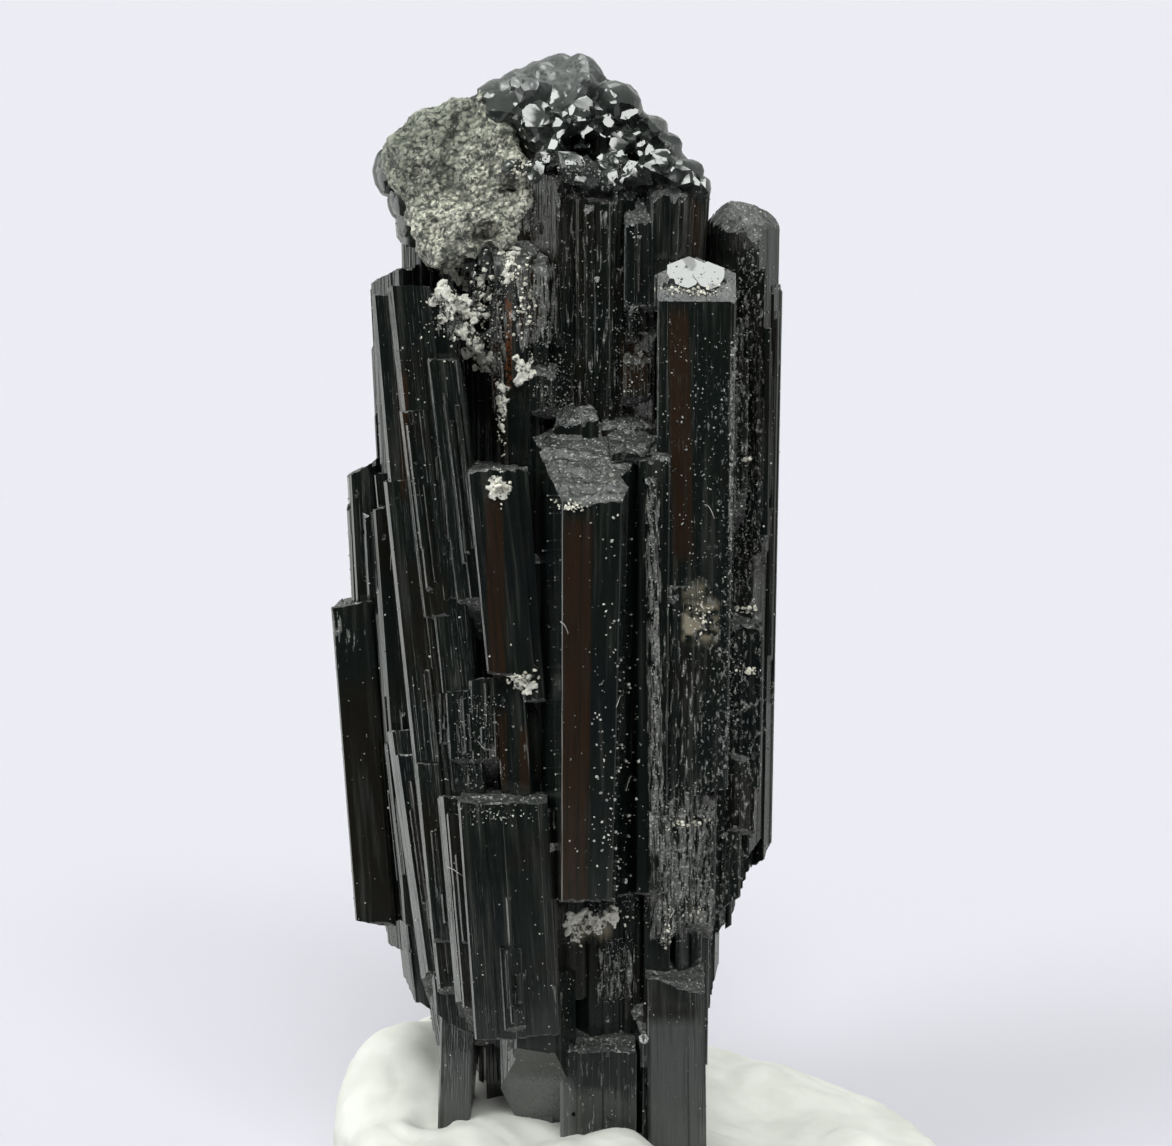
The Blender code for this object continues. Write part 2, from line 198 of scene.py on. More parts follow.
# %% Rough, broken ends
END_SLOPE = 0.5  # the upright share of a normal, above which a face belongs to an end
END_RELIEF, END_JITTER, RIM_CHIPS = 0.15, 0.022, 0.1  # mm: slow waves, each corner's own, and at the rim
FOOT_CELLS = 1.3  # how much larger the cells are at a prism's foot


def once(items):
    """Each item one time, in the order they come. A set would have another order in each run."""
    return list(dict.fromkeys(items))


def end_faces(shape, up):
    return [face for face in shape.faces if face.normal.z * up > END_SLOPE]


def split_along(shape, faces, axis, cell, chance):
    """Cuts the faces with a row of upright planes that cross one axis."""
    low = min(vertex.co[axis] for face in faces for vertex in face.verts)
    high = max(vertex.co[axis] for face in faces for vertex in face.verts)
    place = low + cell * chance.uniform(0.4, 1)
    while place < high:
        point = Vector((0, 0, 0))
        point[axis] = place
        normal = Vector((chance.uniform(-0.25, 0.25), chance.uniform(-0.25, 0.25), 0))
        normal[axis] = 1
        edges = once(edge for face in faces for edge in face.edges)
        corners = once(vertex for face in faces for vertex in face.verts)
        made = bmesh.ops.bisect_plane(
            shape, geom=[*corners, *edges, *faces], plane_co=point, plane_no=normal, dist=1e-4
        )
        faces = only(bmesh.types.BMFace, made["geom"])
        place += cell * chance.uniform(0.7, 1.3)
    return faces


def roughen(shape, up, cell, chance, layer):
    """Turns an end into a broken surface, with a chipped rim."""
    faces = end_faces(shape, up)
    if not faces:
        return
    for axis in (0, 1):
        faces = split_along(shape, faces, axis, cell, chance)
    inside = set(faces)
    offset = Vector((chance.uniform(0, 50), chance.uniform(0, 50), 0))
    for vertex in once(vertex for face in faces for vertex in face.verts):
        x, y = vertex.co.x, vertex.co.y
        wave = noise.noise(Vector((x * 0.8, y * 2.6, 0)) + offset) + 0.5 * noise.noise(
            Vector((x * 3.2, y * 5, 0)) + offset
        )
        drop = END_RELIEF * (0.6 + wave) + chance.uniform(0, END_JITTER)
        if any(face not in inside for face in vertex.link_faces):
            drop += chance.uniform(0, RIM_CHIPS)
        vertex.co.z -= up * drop
    for face in bmesh.ops.triangulate(shape, faces=faces)["faces"]:
        face[layer] = 1


# %% [markdown]
# ## One prism from its numbers
#
# A row of the table says where a prism stands, how far it reaches and how it ends. The steps are always the
# same: draw the outline, break its sides into stairs, extrude it past both ends, cut the ends with planes,
# and lean and taper the whole. Working from a table keeps the bundle easy to change, one prism at a time.
# Two more face layers go with each prism: its lean, so that the material's lines can follow it, and a
# number of its own, so that no two prisms have quite the same tint.

# %% Draw, extrude and cut a prism
FIELDS = "name x face width depth low high lean turn sides tip butt style taper"
Prism = namedtuple("Prism", FIELDS, defaults=(1.0,))
Style = namedtuple("Style", "flat riser corner cell")
# flat: the mean width of its flats. riser: how deep the stairs are. corner: how much each corner is cut off.
# cell: the size of the cells of its broken ends, or None where the ends are clean.
STYLES = {
    "smooth": Style(1.2, 0.02, 0.10, 0.13),
    "plate": Style(0.28, 0.045, 0.08, 0.13),
    "ribbed": Style(0.38, 0.05, 0.07, 0.16),
    "fine": Style(0.2, 0.04, 0.06, 0.15),
    "clean": Style(0.7, 0.02, 0.05, None),
    "glassy": Style(0.9, 0.02, 0.12, None),
    "polished": Style(0.9, 0.05, 0.2, None),
    "terrace": Style(1.4, 0.015, 0.03, 0.085),
    "wide": Style(0.6, 0.03, 0.17, 0.13),
    "rubble": Style(0.25, 0.06, 0.1, 0.11),
    "coarse": Style(0.5, 0.05, 0.07, 0.3),
}
RHOMB_TILT = 27  # degrees: the rhombohedral end faces lean this far from level
CORNER_WANDER = 0.06  # how far a prism's corners stray from a regular outline, as a share
TIP_CORNER = 0.22  # the two lesser end faces start this share of a prism's width above its axis
DOME_RINGS = ((7, 1), (27, 5), (46, 7), (66, 9))  # a rounded top: how far each ring leans, and its count
DOME_HEIGHT = 0.45  # a dome's height as a share of the prism's width or depth
SPARE = 4  # mm that a prism runs past both its ends before they are cut


def fit_outline(shape, prism, style, chance):
    """Turns a disc into the prism's own polygon, as wide and as deep as the table says."""
    spin = Matrix.Rotation(radians(prism.turn), 3, "Z")
    bmesh.ops.rotate(shape, verts=shape.verts, matrix=spin)
    for vertex in shape.verts:
        vertex.co *= 1 + chance.uniform(-CORNER_WANDER, CORNER_WANDER)
    for axis, size in ((0, prism.width), (1, prism.depth)):
        low = min(vertex.co[axis] for vertex in shape.verts)
        high = max(vertex.co[axis] for vertex in shape.verts)
        for vertex in shape.verts:
            vertex.co[axis] = size * ((vertex.co[axis] - low) / (high - low) - 0.5)
    for corner in shape.verts[:]:
        offset = style.corner * chance.uniform(0.5, 1.5)
        bmesh.ops.bevel(
            shape, geom=[corner], offset=offset, segments=1, profile=0.5, affect="VERTICES", material=-1
        )
    for edge in shape.edges[:]:
        step_side(shape, edge, style, chance)


def cut_tip(shape, prism, top):
    """One wide end face and two that only take the corners off, as on a worn three-sided pyramid."""
    azimuth, tilt = prism.tip
    cut(shape, top, leaning(azimuth, tilt))
    if sin(radians(azimuth)) > 0.1:  # it faces back, where a neighbour broke it off
        return
    spare = Vector((0, 0, TIP_CORNER * min(prism.width, prism.depth)))
    for turn in (120, 240):
        cut(shape, top + spare, leaning(azimuth + turn, tilt if RHOMB_TILT < tilt < 45 else RHOMB_TILT))


def cut_dome(shape, prism, top, chance):
    """A rounded top: rings of faces that touch an ellipsoid as wide as the prism."""
    half = Vector((prism.width / 2, prism.depth / 2, DOME_HEIGHT * min(prism.width, prism.depth)))
    centre = top - Vector((0, 0, half.z))
    for tilt, count in DOME_RINGS:
        first = chance.uniform(0, 360)
        for side in range(count):
            normal = leaning(first + 360 * side / count, tilt + chance.uniform(-7, 7))
            touch = Vector([normal[axis] * half[axis] ** 2 for axis in range(3)])
            reach = sum((normal[axis] * half[axis]) ** 2 for axis in range(3)) ** 0.5
            cut(shape, centre + touch / reach, normal)


def new_shape():
    """An empty bmesh with the four face layers that the material reads."""
    shape = bmesh.new()
    for name in ("rough", "lean", "tint", "glassy"):
        shape.faces.layers.float.new(name)
    return shape


def mark(shape, **values):
    """Gives every face of the shape the same value in a layer."""
    for name, value in values.items():
        layer = shape.faces.layers.float[name]
        for face in shape.faces:
            face[layer] = value


def prism_bmesh(prism):
    """The finished prism, in its place."""
    chance = Random(prism.name)
    style = STYLES[prism.style]
    shape = new_shape()
    bmesh.ops.create_circle(shape, cap_ends=True, segments=prism.sides, radius=1)
    fit_outline(shape, prism, style, chance)
    length = prism.high - prism.low
    raised = bmesh.ops.extrude_face_region(shape, geom=shape.faces[:])["geom"]
    top = only(bmesh.types.BMVert, raised)
    bmesh.ops.translate(shape, vec=(0, 0, length + 2 * SPARE), verts=top)
    bmesh.ops.translate(shape, vec=(0, 0, -length / 2 - SPARE), verts=shape.verts)
    bmesh.ops.recalc_face_normals(shape, faces=shape.faces)
    top_middle, foot_middle = Vector((0, 0, length / 2)), Vector((0, 0, -length / 2))
    if prism.tip == "dome":
        cut_dome(shape, prism, top_middle, chance)
    else:
        cut_tip(shape, prism, top_middle)
    azimuth, tilt = prism.butt
    cut(shape, foot_middle, leaning(azimuth, tilt, up=-1))
    if style.cell:
        layer = shape.faces.layers.float["rough"]
        roughen(shape, 1, style.cell, chance, layer)
        roughen(shape, -1, style.cell * FOOT_CELLS, chance, layer)
    for vertex in shape.verts:
        share_up = max(0, min(1, vertex.co.z / length + 0.5))
        narrow = prism.taper + (1 - prism.taper) * share_up
        vertex.co.x = prism.x + prism.lean * vertex.co.z + vertex.co.x * narrow
        vertex.co.y = prism.face + prism.depth / 2 + vertex.co.y * narrow
        vertex.co.z += (prism.low + prism.high) / 2
    mark(shape, lean=prism.lean, tint=chance.random(), glassy=prism.style == "polished")
    return shape


# %% [markdown]
# ## The bundle
#
# The rows follow the specimen where its front shows it: a stepped column, lamellae that lean outwards on
# the left, taller prisms on the right, a high wall behind the terrace, and prongs that reach down into the
# putty. The back is a guess and repeats what is in front.

# %% List the prisms
PRISMS = [Prism(*row) for row in (
    # the stepped front
    ("front_column", -1.92, -6.3, 4.2, 6.0, 13.2, 30.4, 0.012, 30, 6, (FRONT, 29), (FRONT, 14), "terrace",
     0.86),
    ("column_step", 0.3, -4.75, 1.1, 3.0, 13.4, 30.4, 0.0, 45, 4, (FRONT, 20), (FRONT, 14), "fine"),
    ("column_seam", 0.33, -5.1, 0.42, 1.5, 16.6, 29.5, -0.024, 45, 4, (FRONT, 30), (FRONT, 30), "fine"),
    ("front_wall", -3.3, -4.1, 5.4, 4.0, 9.0, 26.8, -0.02, 12, 8, (FRONT, 20), (FRONT, 8), "ribbed", 0.95),
    ("front_blade", -4.95, -5.2, 1.75, 4.2, 21.4, 29.3, -0.085, 46, 4, (BACK, 9), (250, 20), "smooth"),
    ("blade_edge", -4.1, -4.9, 0.8, 3.6, 20.4, 29.0, -0.07, 45, 4, (BACK, 20), (FRONT, 20), "plate"),
    ("front_blade_low", -4.45, -4.7, 2.2, 4.2, 15.8, 21.8, -0.06, 24, 6, (BACK, 8), (FRONT, 10), "ribbed"),
    ("lower_front", -4.65, -5.7, 3.3, 5.0, 8.1, 17.5, -0.05, 44, 4, (BACK, 7), (300, 12), "ribbed", 0.97),
    ("lower_edge", -3.3, -5.3, 1.3, 4.0, 8.4, 17.1, -0.03, 40, 5, (BACK, 4), (300, 16), "fine"),
    ("left_front", -7.05, -4.0, 2.8, 4.6, 7.6, 34.2, -0.06, 44, 4, (BACK, 30), (190, 30), "plate", 0.9),
    ("left_front_rib", -6.2, -4.4, 1.3, 3.2, 9.0, 27.0, -0.085, 44, 4, (BACK, 30), (190, 30), "plate"),
    ("left_shoulder", -8.5, -1.8, 2.2, 4.6, 21.5, 35.4, -0.03, 12, 6, (150, 24), (190, 40), "ribbed"),
    ("left_flake", -9.2, -0.9, 0.7, 2.0, 29.6, 32.1, -0.02, 0, 5, (180, 50), (180, 50), "clean"),
    ("left_step", -9.75, -1.3, 1.6, 4.4, 11.8, 28.3, -0.03, 25, 6, (150, 26), (200, 30), "plate"),
    ("left_sliver", -10.3, -0.6, 0.8, 1.8, 22.2, 26.4, -0.02, 0, 5, (180, 58), (180, 40), "clean"),
    ("left_outer", -10.15, -1.8, 1.5, 4.2, 11.3, 23.5, -0.05, 44, 4, (130, 14), (190, 8), "smooth"),
    ("left_gap_filler", -8.7, -2.3, 1.9, 4.0, 11.0, 27.0, -0.05, 30, 6, (130, 20), (200, 30), "fine"),
    ("left_foot", -9.2, -1.4, 1.5, 4.0, 9.8, 18.0, -0.06, 20, 6, (120, 30), (200, 25), "ribbed"),
    ("left_low", -8.35, -2.4, 2.1, 4.2, 7.8, 18.0, -0.08, 33, 6, (120, 30), (190, 40), "plate", 0.9),
    ("left_low_front", -7.5, -3.5, 1.9, 4.4, 6.2, 16.0, -0.10, 15, 6, (110, 30), (200, 35), "ribbed", 0.85),
    # what reaches down into the foot
    ("prong_left", -6.8, -3.6, 1.5, 2.4, 3.2, 10.0, 0.05, 38, 4, (LEFT, 20), (FRONT, 8), "smooth", 0.85),
    ("prong_back", -5.5, -1.9, 1.6, 3.2, 3.0, 10.0, 0.0, 10, 5, (LEFT, 20), (FRONT, 10), "clean"),
    ("prong_chisel", -3.8, -5.4, 2.8, 2.8, 5.7, 10.6, 0.0, 28, 6, (BACK, 20), (264, 60), "clean"),
    ("prong_chisel_back", -3.6, -3.3, 2.2, 3.0, 3.0, 10.6, 0.0, 20, 6, (BACK, 20), (FRONT, 20), "clean"),
    ("lower_middle", -1.5, -4.75, 3.0, 4.2, 3.4, 8.1, 0.0, 41, 4, (FRONT, 9), (FRONT, 6), "rubble"),
    ("lower_middle_right", 0.1, -4.6, 1.4, 4.0, 3.4, 9.4, 0.0, 30, 5, (FRONT, 30), (FRONT, 6), "terrace"),
    ("recessed_wall", -1.3, -3.7, 4.0, 4.6, 6.0, 14.4, 0.0, 12, 7, (FRONT, 12), (FRONT, 6), "fine"),
    ("foot_gap_filler", 0.55, -4.0, 1.0, 3.4, 4.0, 14.4, 0.0, 44, 4, (FRONT, 20), (FRONT, 6), "terrace"),
    ("right_foot_back", 1.45, -3.75, 2.1, 3.4, 6.0, 13.8, 0.0, 30, 5, (FRONT, 20), (FRONT, 6), "ribbed"),
    ("right_foot", 1.3, -4.7, 2.3, 4.4, 1.9, 10.9, -0.02, 44, 4, (310, 20), (FRONT, 5), "wide"),
    # the right side
    ("middle_right", 1.05, -4.5, 2.5, 5.2, 11.4, 26.2, 0.0, 35, 6, (FRONT, 22), (300, 25), "fine"),
    ("right_front", 1.72, -4.35, 2.7, 1.5, 17.2, 36.25, 0.0, 44, 4, (FRONT, 57), (310, 20), "clean", 0.97),
    ("right_front_flash", 1.45, -4.15, 1.5, 1.1, 34.0, 36.37, 0.0, 50, 5, (266, 57), (FRONT, 20), "polished"),
    ("right_front_glint", 2.1, -4.15, 1.3, 0.9, 34.0, 36.25, 0.0, 20, 6, (274, 58), (FRONT, 20), "polished"),
    ("right_seam", 3.05, -2.9, 0.5, 2.4, 19.0, 34.4, 0.0, 40, 5, (FRONT, 40), (FRONT, 40), "fine"),
    ("right_outer", 3.5, -2.3, 2.6, 5.6, 13.8, 37.9, 0.0, 20, 6, "dome", (350, 26), "fine"),
    ("right_edge", 4.5, -0.8, 0.9, 3.0, 13.4, 35.4, 0.0, 8, 6, (0, 48), (0, 48), "fine"),
    ("right_low_outer", 3.05, -2.8, 2.2, 4.6, 12.4, 20.4, 0.0, 30, 6, (10, 25), (0, 35), "ribbed"),
    ("right_low_step", 2.6, -2.6, 1.9, 4.2, 11.2, 18.4, 0.0, 18, 6, (20, 25), (0, 30), "ribbed"),
    ("right_low_inner", 1.7, -3.0, 1.9, 4.0, 10.5, 20.4, 0.0, 40, 5, (350, 20), (0, 40), "fine"),
    ("right_ledge_first", 3.7, -2.75, 1.2, 1.6, 16.5, 23.65, 0.0, 44, 4, (FRONT, 30), (FRONT, 40), "rubble"),
    ("right_ledge_second", 3.4, -3.0, 1.6, 1.6, 15.0, 18.8, 0.0, 30, 5, (300, 28), (FRONT, 40), "rubble"),
    ("right_ledge_third", 2.6, -3.5, 1.0, 1.4, 18.6, 21.4, 0.0, 40, 5, (285, 35), (FRONT, 50), "rubble"),
    ("right_inner_ledge", 1.95, -3.95, 1.4, 1.6, 11.6, 17.9, 0.0, 44, 4, (285, 34), (FRONT, 40), "rubble"),
    ("right_inner_low", 0.85, -4.7, 1.1, 1.6, 11.8, 16.45, 0.0, 30, 5, (FRONT, 30), (300, 40), "rubble"),
    ("right_high_chip", 3.9, -2.5, 0.8, 1.4, 27.0, 29.6, 0.0, 30, 5, (300, 35), (FRONT, 50), "rubble"),
    # the upper wall and its ledges
    ("centre_wall", -1.6, -2.7, 5.0, 5.0, 28.0, 39.8, 0.0, 10, 8, (FRONT, 30), (FRONT, 8), "fine"),
    ("wall_step_low", -0.3, -3.3, 2.4, 3.2, 28.0, 31.4, 0.0, 44, 4, (FRONT, 25), (FRONT, 8), "fine"),
    ("wall_step_high", 0.1, -2.95, 1.6, 3.2, 29.0, 34.6, 0.0, 14, 6, (FRONT, 30), (FRONT, 8), "fine"),
    ("wall_sliver", -1.1, -2.95, 0.17, 0.8, 30.6, 38.9, 0.025, 20, 5, (FRONT, 50), (FRONT, 50), "clean"),
    ("wall_sliver_left", -2.92, -2.9, 0.15, 0.8, 33.4, 38.5, -0.03, 20, 5, (FRONT, 50), (FRONT, 50), "clean"),
    ("wall_plate_left", -3.7, -2.95, 0.8, 1.6, 32.0, 36.6, 0.0, 44, 4, (FRONT, 40), (FRONT, 40), "fine"),
    ("wall_plate_right", -0.2, -2.9, 1.1, 1.6, 34.0, 38.4, 0.0, 46, 4, (FRONT, 40), (FRONT, 40), "fine"),
    ("ledge_left", -3.57, -3.5, 1.05, 1.3, 30.8, 32.8, 0.0, 45, 4, (300, 24), (FRONT, 30), "rubble"),
    ("ledge_middle", -2.35, -3.4, 1.7, 1.5, 29.4, 31.3, 0.0, 40, 4, (250, 34), (FRONT, 10), "rubble"),
    ("ledge_right", -0.28, -3.25, 1.05, 1.2, 31.2, 33.2, 0.0, 46, 4, (FRONT, 24), (FRONT, 30), "rubble"),
    ("ledge_bright", -0.33, -3.2, 1.05, 1.0, 33.4, 34.9, 0.0, 50, 3, (FRONT, 30), (FRONT, 30), "rubble"),
    ("ledge_block", 0.6, -3.45, 0.62, 1.2, 34.6, 36.0, 0.0, 45, 4, (FRONT, 20), (FRONT, 30), "rubble"),
    ("shelf", -0.45, -4.75, 1.8, 2.4, 29.0, 30.5, 0.0, 62, 5, (280, 20), (FRONT, 30), "terrace"),
    ("centre_left", -4.35, -3.4, 2.1, 4.6, 26.0, 37.4, -0.03, 16, 6, (FRONT, 30), (FRONT, 10), "ribbed"),
    # under the crown
    ("brown_prism", 0.95, -3.2, 2.7, 4.4, 35.0, 39.4, 0.02, 12, 8, "dome", (320, 22), "fine", 0.9),
    ("crown_shoulder", 0.75, -1.2, 1.7, 4.0, 34.0, 39.6, 0.0, 10, 7, "dome", (FRONT, 10), "glassy"),
    ("crown_small", 0.05, -1.2, 1.4, 3.8, 34.0, 40.4, 0.0, 33, 6, "dome", (FRONT, 10), "glassy"),
    ("crown_right", -1.35, -1.7, 2.5, 4.6, 34.0, 41.4, 0.0, 22, 7, "dome", (FRONT, 10), "glassy"),
    ("crown_main", -3.15, -1.5, 3.9, 5.6, 33.0, 42.2, 0.0, 14, 8, "dome", (FRONT, 10), "glassy"),
    ("crown_front", -3.1, -2.5, 2.6, 3.4, 33.0, 39.8, 0.0, 30, 7, "dome", (FRONT, 10), "glassy"),
    ("crown_left", -4.9, -0.7, 2.2, 3.6, 33.0, 41.2, 0.0, 5, 7, "dome", (FRONT, 10), "glassy"),
    ("upper_left", -6.7, -0.9, 3.9, 5.0, 26.0, 40.9, 0.0, 20, 7, (195, 20), (LEFT, 20), "ribbed"),
    ("left_knob", -8.75, -0.7, 1.2, 2.4, 38.5, 39.8, 0.0, 12, 7, "dome", (200, 38), "glassy", 0.8),
    ("left_knob_lower", -8.1, -1.6, 1.6, 3.4, 36.2, 39.0, 0.0, 25, 7, "dome", (200, 40), "glassy", 0.8),
    ("left_neck", -7.9, -1.2, 1.4, 3.2, 34.0, 37.4, 0.0, 10, 6, (LEFT, 20), (LEFT, 20), "ribbed"),
    # the back
    ("back_left", -7.2, 0.3, 4.0, 4.0, 9.2, 32.6, -0.04, 15, 7, (140, 27), (150, 30), "ribbed", 0.9),
    ("back_middle_left", -5.5, 0.6, 4.6, 5.2, 3.0, 37.8, -0.02, 28, 7, (110, 27), (100, 8), "ribbed", 0.95),
    ("back_middle", -2.2, 0.4, 5.0, 5.7, 2.7, 40.4, 0.0, 8, 8, (80, 27), (90, 6), "ribbed", 0.95),
    ("back_right", 1.1, 0.4, 4.4, 4.9, 6.8, 36.2, 0.0, 20, 7, (60, 27), (50, 28), "ribbed", 0.95),
    ("back_outer", 3.2, 0.6, 2.8, 3.2, 15.2, 31.0, 0.0, 12, 6, (30, 27), (30, 35), "fine"),
    ("back_blade_left", -7.3, 2.6, 1.9, 2.5, 13.6, 26.2, -0.03, 30, 6, (120, 27), (120, 30), "ribbed"),
    ("back_blade_middle", -4.1, 3.6, 2.1, 2.7, 11.0, 27.6, -0.01, 24, 6, (90, 27), (90, 25), "smooth"),
    ("back_blade_right", -0.5, 3.5, 2.3, 3.1, 15.8, 33.4, 0.0, 35, 6, (70, 27), (80, 30), "ribbed"),
    ("back_blade_outer", 1.9, 2.7, 1.9, 2.8, 9.6, 24.4, 0.0, 10, 6, (50, 27), (40, 30), "fine"),
    ("back_stub", -3.0, 4.7, 1.5, 1.7, 18.4, 36.0, 0.0, 15, 5, (90, 27), (90, 40), "clean"),
    ("back_foot", -3.3, 1.6, 3.6, 3.4, 2.3, 13.4, 0.0, 30, 6, (90, 27), (90, 8), "clean"),
    # the bundle's middle, which they all grow against
    ("core_low", -2.6, -3.1, 6.6, 6.4, 3.9, 30.0, 0.0, 12, 8, (BACK, 10), (FRONT, 5), "coarse"),
    ("core_high", -3.2, -2.2, 6.8, 5.4, 20.0, 38.4, 0.0, 12, 8, (BACK, 10), (FRONT, 5), "coarse"),
    ("core_left", -7.2, -2.4, 3.6, 5.2, 9.6, 33.0, -0.05, 12, 8, (BACK, 10), (LEFT, 25), "coarse", 0.9),
    ("core_right", 1.7, -3.2, 3.4, 5.6, 12.2, 35.8, 0.0, 12, 8, (BACK, 10), (RIGHT, 25), "coarse"),
)]
print("prisms in the table:", len(PRISMS))

# %% [markdown]
# The leaning plates on the left overlap like roof tiles, each a little in front of the next. What shows of
# each is its left edge, a thin bright line, so each is listed by that edge: where it starts at the top and
# where it ends at the foot.

# %% List the leaning plates by their left edges
Plate = namedtuple("Plate", "name face width top foot style", defaults=("plate",))  # top and foot are (x, z)
PLATES = [Plate(*row) for row in (
    ("plate_shoulder", -2.0, 1.3, (-9.5, 28.2), (-8.9, 19.8)),
    ("plate_long", -4.2, 1.2, (-9.0, 28.4), (-7.35, 8.6), "wide"),
    ("plate_upper", -4.3, 1.5, (-8.75, 35.2), (-7.75, 23.6), "wide"),
    ("plate_upper_thin", -4.42, 1.0, (-8.4, 31.0), (-7.6, 22.8)),
    ("plate_inner", -4.5, 1.1, (-7.2, 29.3), (-6.9, 23.5)),
    ("plate_inner_front", -4.65, 1.1, (-7.4, 32.8), (-6.42, 23.4)),
    ("plate_low_outer", -3.8, 1.1, (-9.1, 19.2), (-7.95, 8.9), "wide"),
    ("plate_low_outer_thin", -3.9, 0.9, (-8.8, 18.4), (-7.75, 9.2)),
    ("plate_low_thin", -4.35, 0.9, (-8.05, 18.2), (-7.5, 10.6)),
    ("plate_middle", -4.4, 0.7, (-7.25, 20.8), (-7.25, 18.1)),
    ("plate_middle_right", -4.55, 1.0, (-6.96, 20.9), (-6.79, 17.5)),
    ("plate_middle_last", -4.7, 1.0, (-6.16, 21.4), (-6.1, 17.6)),
    ("plate_foot_first", -4.85, 1.3, (-7.3, 17.1), (-6.7, 8.5), "wide"),
    ("plate_foot_second", -5.1, 1.2, (-6.95, 16.5), (-6.4, 8.3)),
    ("plate_foot_third", -5.35, 1.1, (-6.55, 17.0), (-6.04, 8.4), "wide"),
    ("plate_foot_fourth", -5.55, 0.9, (-6.32, 16.6), (-5.88, 8.8)),
    ("plate_foot_inner", -5.8, 0.8, (-5.1, 11.7), (-4.9, 7.7)),
    ("plate_right_first", -4.95, 0.35, (0.1, 16.6), (0.27, 12.7)),
    ("plate_right_second", -5.0, 0.4, (0.5, 16.5), (0.52, 13.2)),
    ("plate_right_third", -4.2, 0.5, (1.64, 16.0), (1.7, 13.5)),
    ("plate_right_seam", -3.0, 0.4, (3.0, 33.9), (3.05, 26.4)),
    ("plate_right_outer", -2.35, 0.35, (4.1, 32.6), (4.15, 25.5)),
    ("plate_right_tall", -2.6, 0.4, (3.75, 35.5), (3.8, 24.5)),
)]
PLATE_DEPTH = 2.2
PLATE_TURN = 43.5  # just under 45: the front of a plate is turned slightly to the left


def prism_from_plate(plate):
    (top_x, top_z), (foot_x, foot_z) = plate.top, plate.foot
    x = (top_x + foot_x + plate.width) / 2
    lean = (top_x - foot_x) / (top_z - foot_z)
    tip, butt = (BACK, 30), (FRONT, 50)
    size = (plate.width, PLATE_DEPTH, foot_z, top_z)
    return Prism(plate.name, x, plate.face, *size, lean, PLATE_TURN, 4, tip, butt, plate.style)


def thinner(plate, number, chance):
    """A slim plate that runs beside one of the table's, over a part of its height."""
    (top_x, top_z), (foot_x, foot_z) = plate.top, plate.foot
    aside = chance.uniform(0.15, 0.8) * plate.width
    upper, lower = chance.uniform(0, 0.45), chance.uniform(0, 0.35)
    top = (top_x + (foot_x - top_x) * upper + aside, top_z + (foot_z - top_z) * upper)
    foot = (foot_x + (top_x - foot_x) * lower + aside, foot_z + (top_z - foot_z) * lower)
    face = plate.face - chance.uniform(0.02, 0.1)
    return Plate(f"{plate.name}_{number}", face, chance.uniform(0.08, 0.35), top, foot)


THIN_PLATES = 5  # beside each plate
chance = Random("thin plates")
thin = [thinner(plate, number, chance) for plate in PLATES for number in range(THIN_PLATES)]
plates = [prism_from_plate(plate) for plate in [*PLATES, *thin]]
print("plates:", len(plates))

# %% [markdown]
# ## Thin lamellae
#
# The large prisms carry many thin ones that start and stop anywhere along their sides. Each is a slim prism
# that stands a fraction of a millimetre proud. A seeded random generator places them, so that the result is
# irregular but the same on every run.

# %% Grow lamellae on the large prisms
LAMELLAE_PER_MM = 1.1  # for each millimetre of a prism's girth
PROUD = (0.015, 0.08)  # mm that a lamella stands out
SHORTEST_HOST, SLIMMEST_HOST = 4, 0.9  # mm
BARE = ("front_column", "core_low", "core_high", "core_left", "core_right", "right_foot", "prong_chisel",
        "front_blade", "right_front", "left_low_front", "prong_left")
BUSY_SHARE = 2.5  # how many more lamellae the busy prisms carry
BUSY = ("centre_wall", "centre_left", "upper_left", "right_outer", "middle_right", "recessed_wall",
        "left_step")


def lamella_on(host, number, chance):
    """A slim prism on the host's side, with a chisel end that faces outwards."""
    azimuth = chance.uniform(0, 360)
    width = chance.uniform(0.12, 0.5)
    inset = width / 2 - chance.uniform(*PROUD)
    x = host.x + (host.width / 2 - inset) * cos(radians(azimuth))
    y = host.face + host.depth / 2 + (host.depth / 2 - inset) * sin(radians(azimuth))
    length = host.high - host.low
    low = host.low + length * chance.uniform(0.02, 0.6)
    high = min(low + length * chance.uniform(0.2, 0.9), host.high - 1.2)
    x += host.lean * ((low + high) / 2 - (host.low + host.high) / 2)
    turn, sides = chance.choice((0, 30, 12, 18)), chance.choice((5, 6, 6, 7))
    tip, butt = (azimuth, chance.uniform(45, 70)), (azimuth, chance.uniform(40, 65))
    name = f"{host.name}_lamella_{number}"
    return Prism(name, x, y - width / 2, width, width, low, high, host.lean, turn, sides, tip, butt, "clean")


lamellae = []
for host in PRISMS:
    if host.name in BARE or host.tip == "dome":
        continue
    if host.high - host.low < SHORTEST_HOST or host.width < SLIMMEST_HOST:
        continue
    chance = Random(host.name + " lamellae")
    count = LAMELLAE_PER_MM * 2 * (host.width + host.depth) * (BUSY_SHARE if host.name in BUSY else 1)
    for number in range(round(count)):
        lamellae.append(lamella_on(host, number, chance))
print("lamellae:", len(lamellae))

# %% [markdown]
# ## The glassy crown
#
# The top of the bundle ended in many small pyramids that were partly dissolved and grew again, so it looks
# like a heap of fused glass beads. Overlapping icospheres are melted into one skin with a voxel remesh.
# Noise dents it, and a decimate leaves the small, uneven facets that make it sparkle.

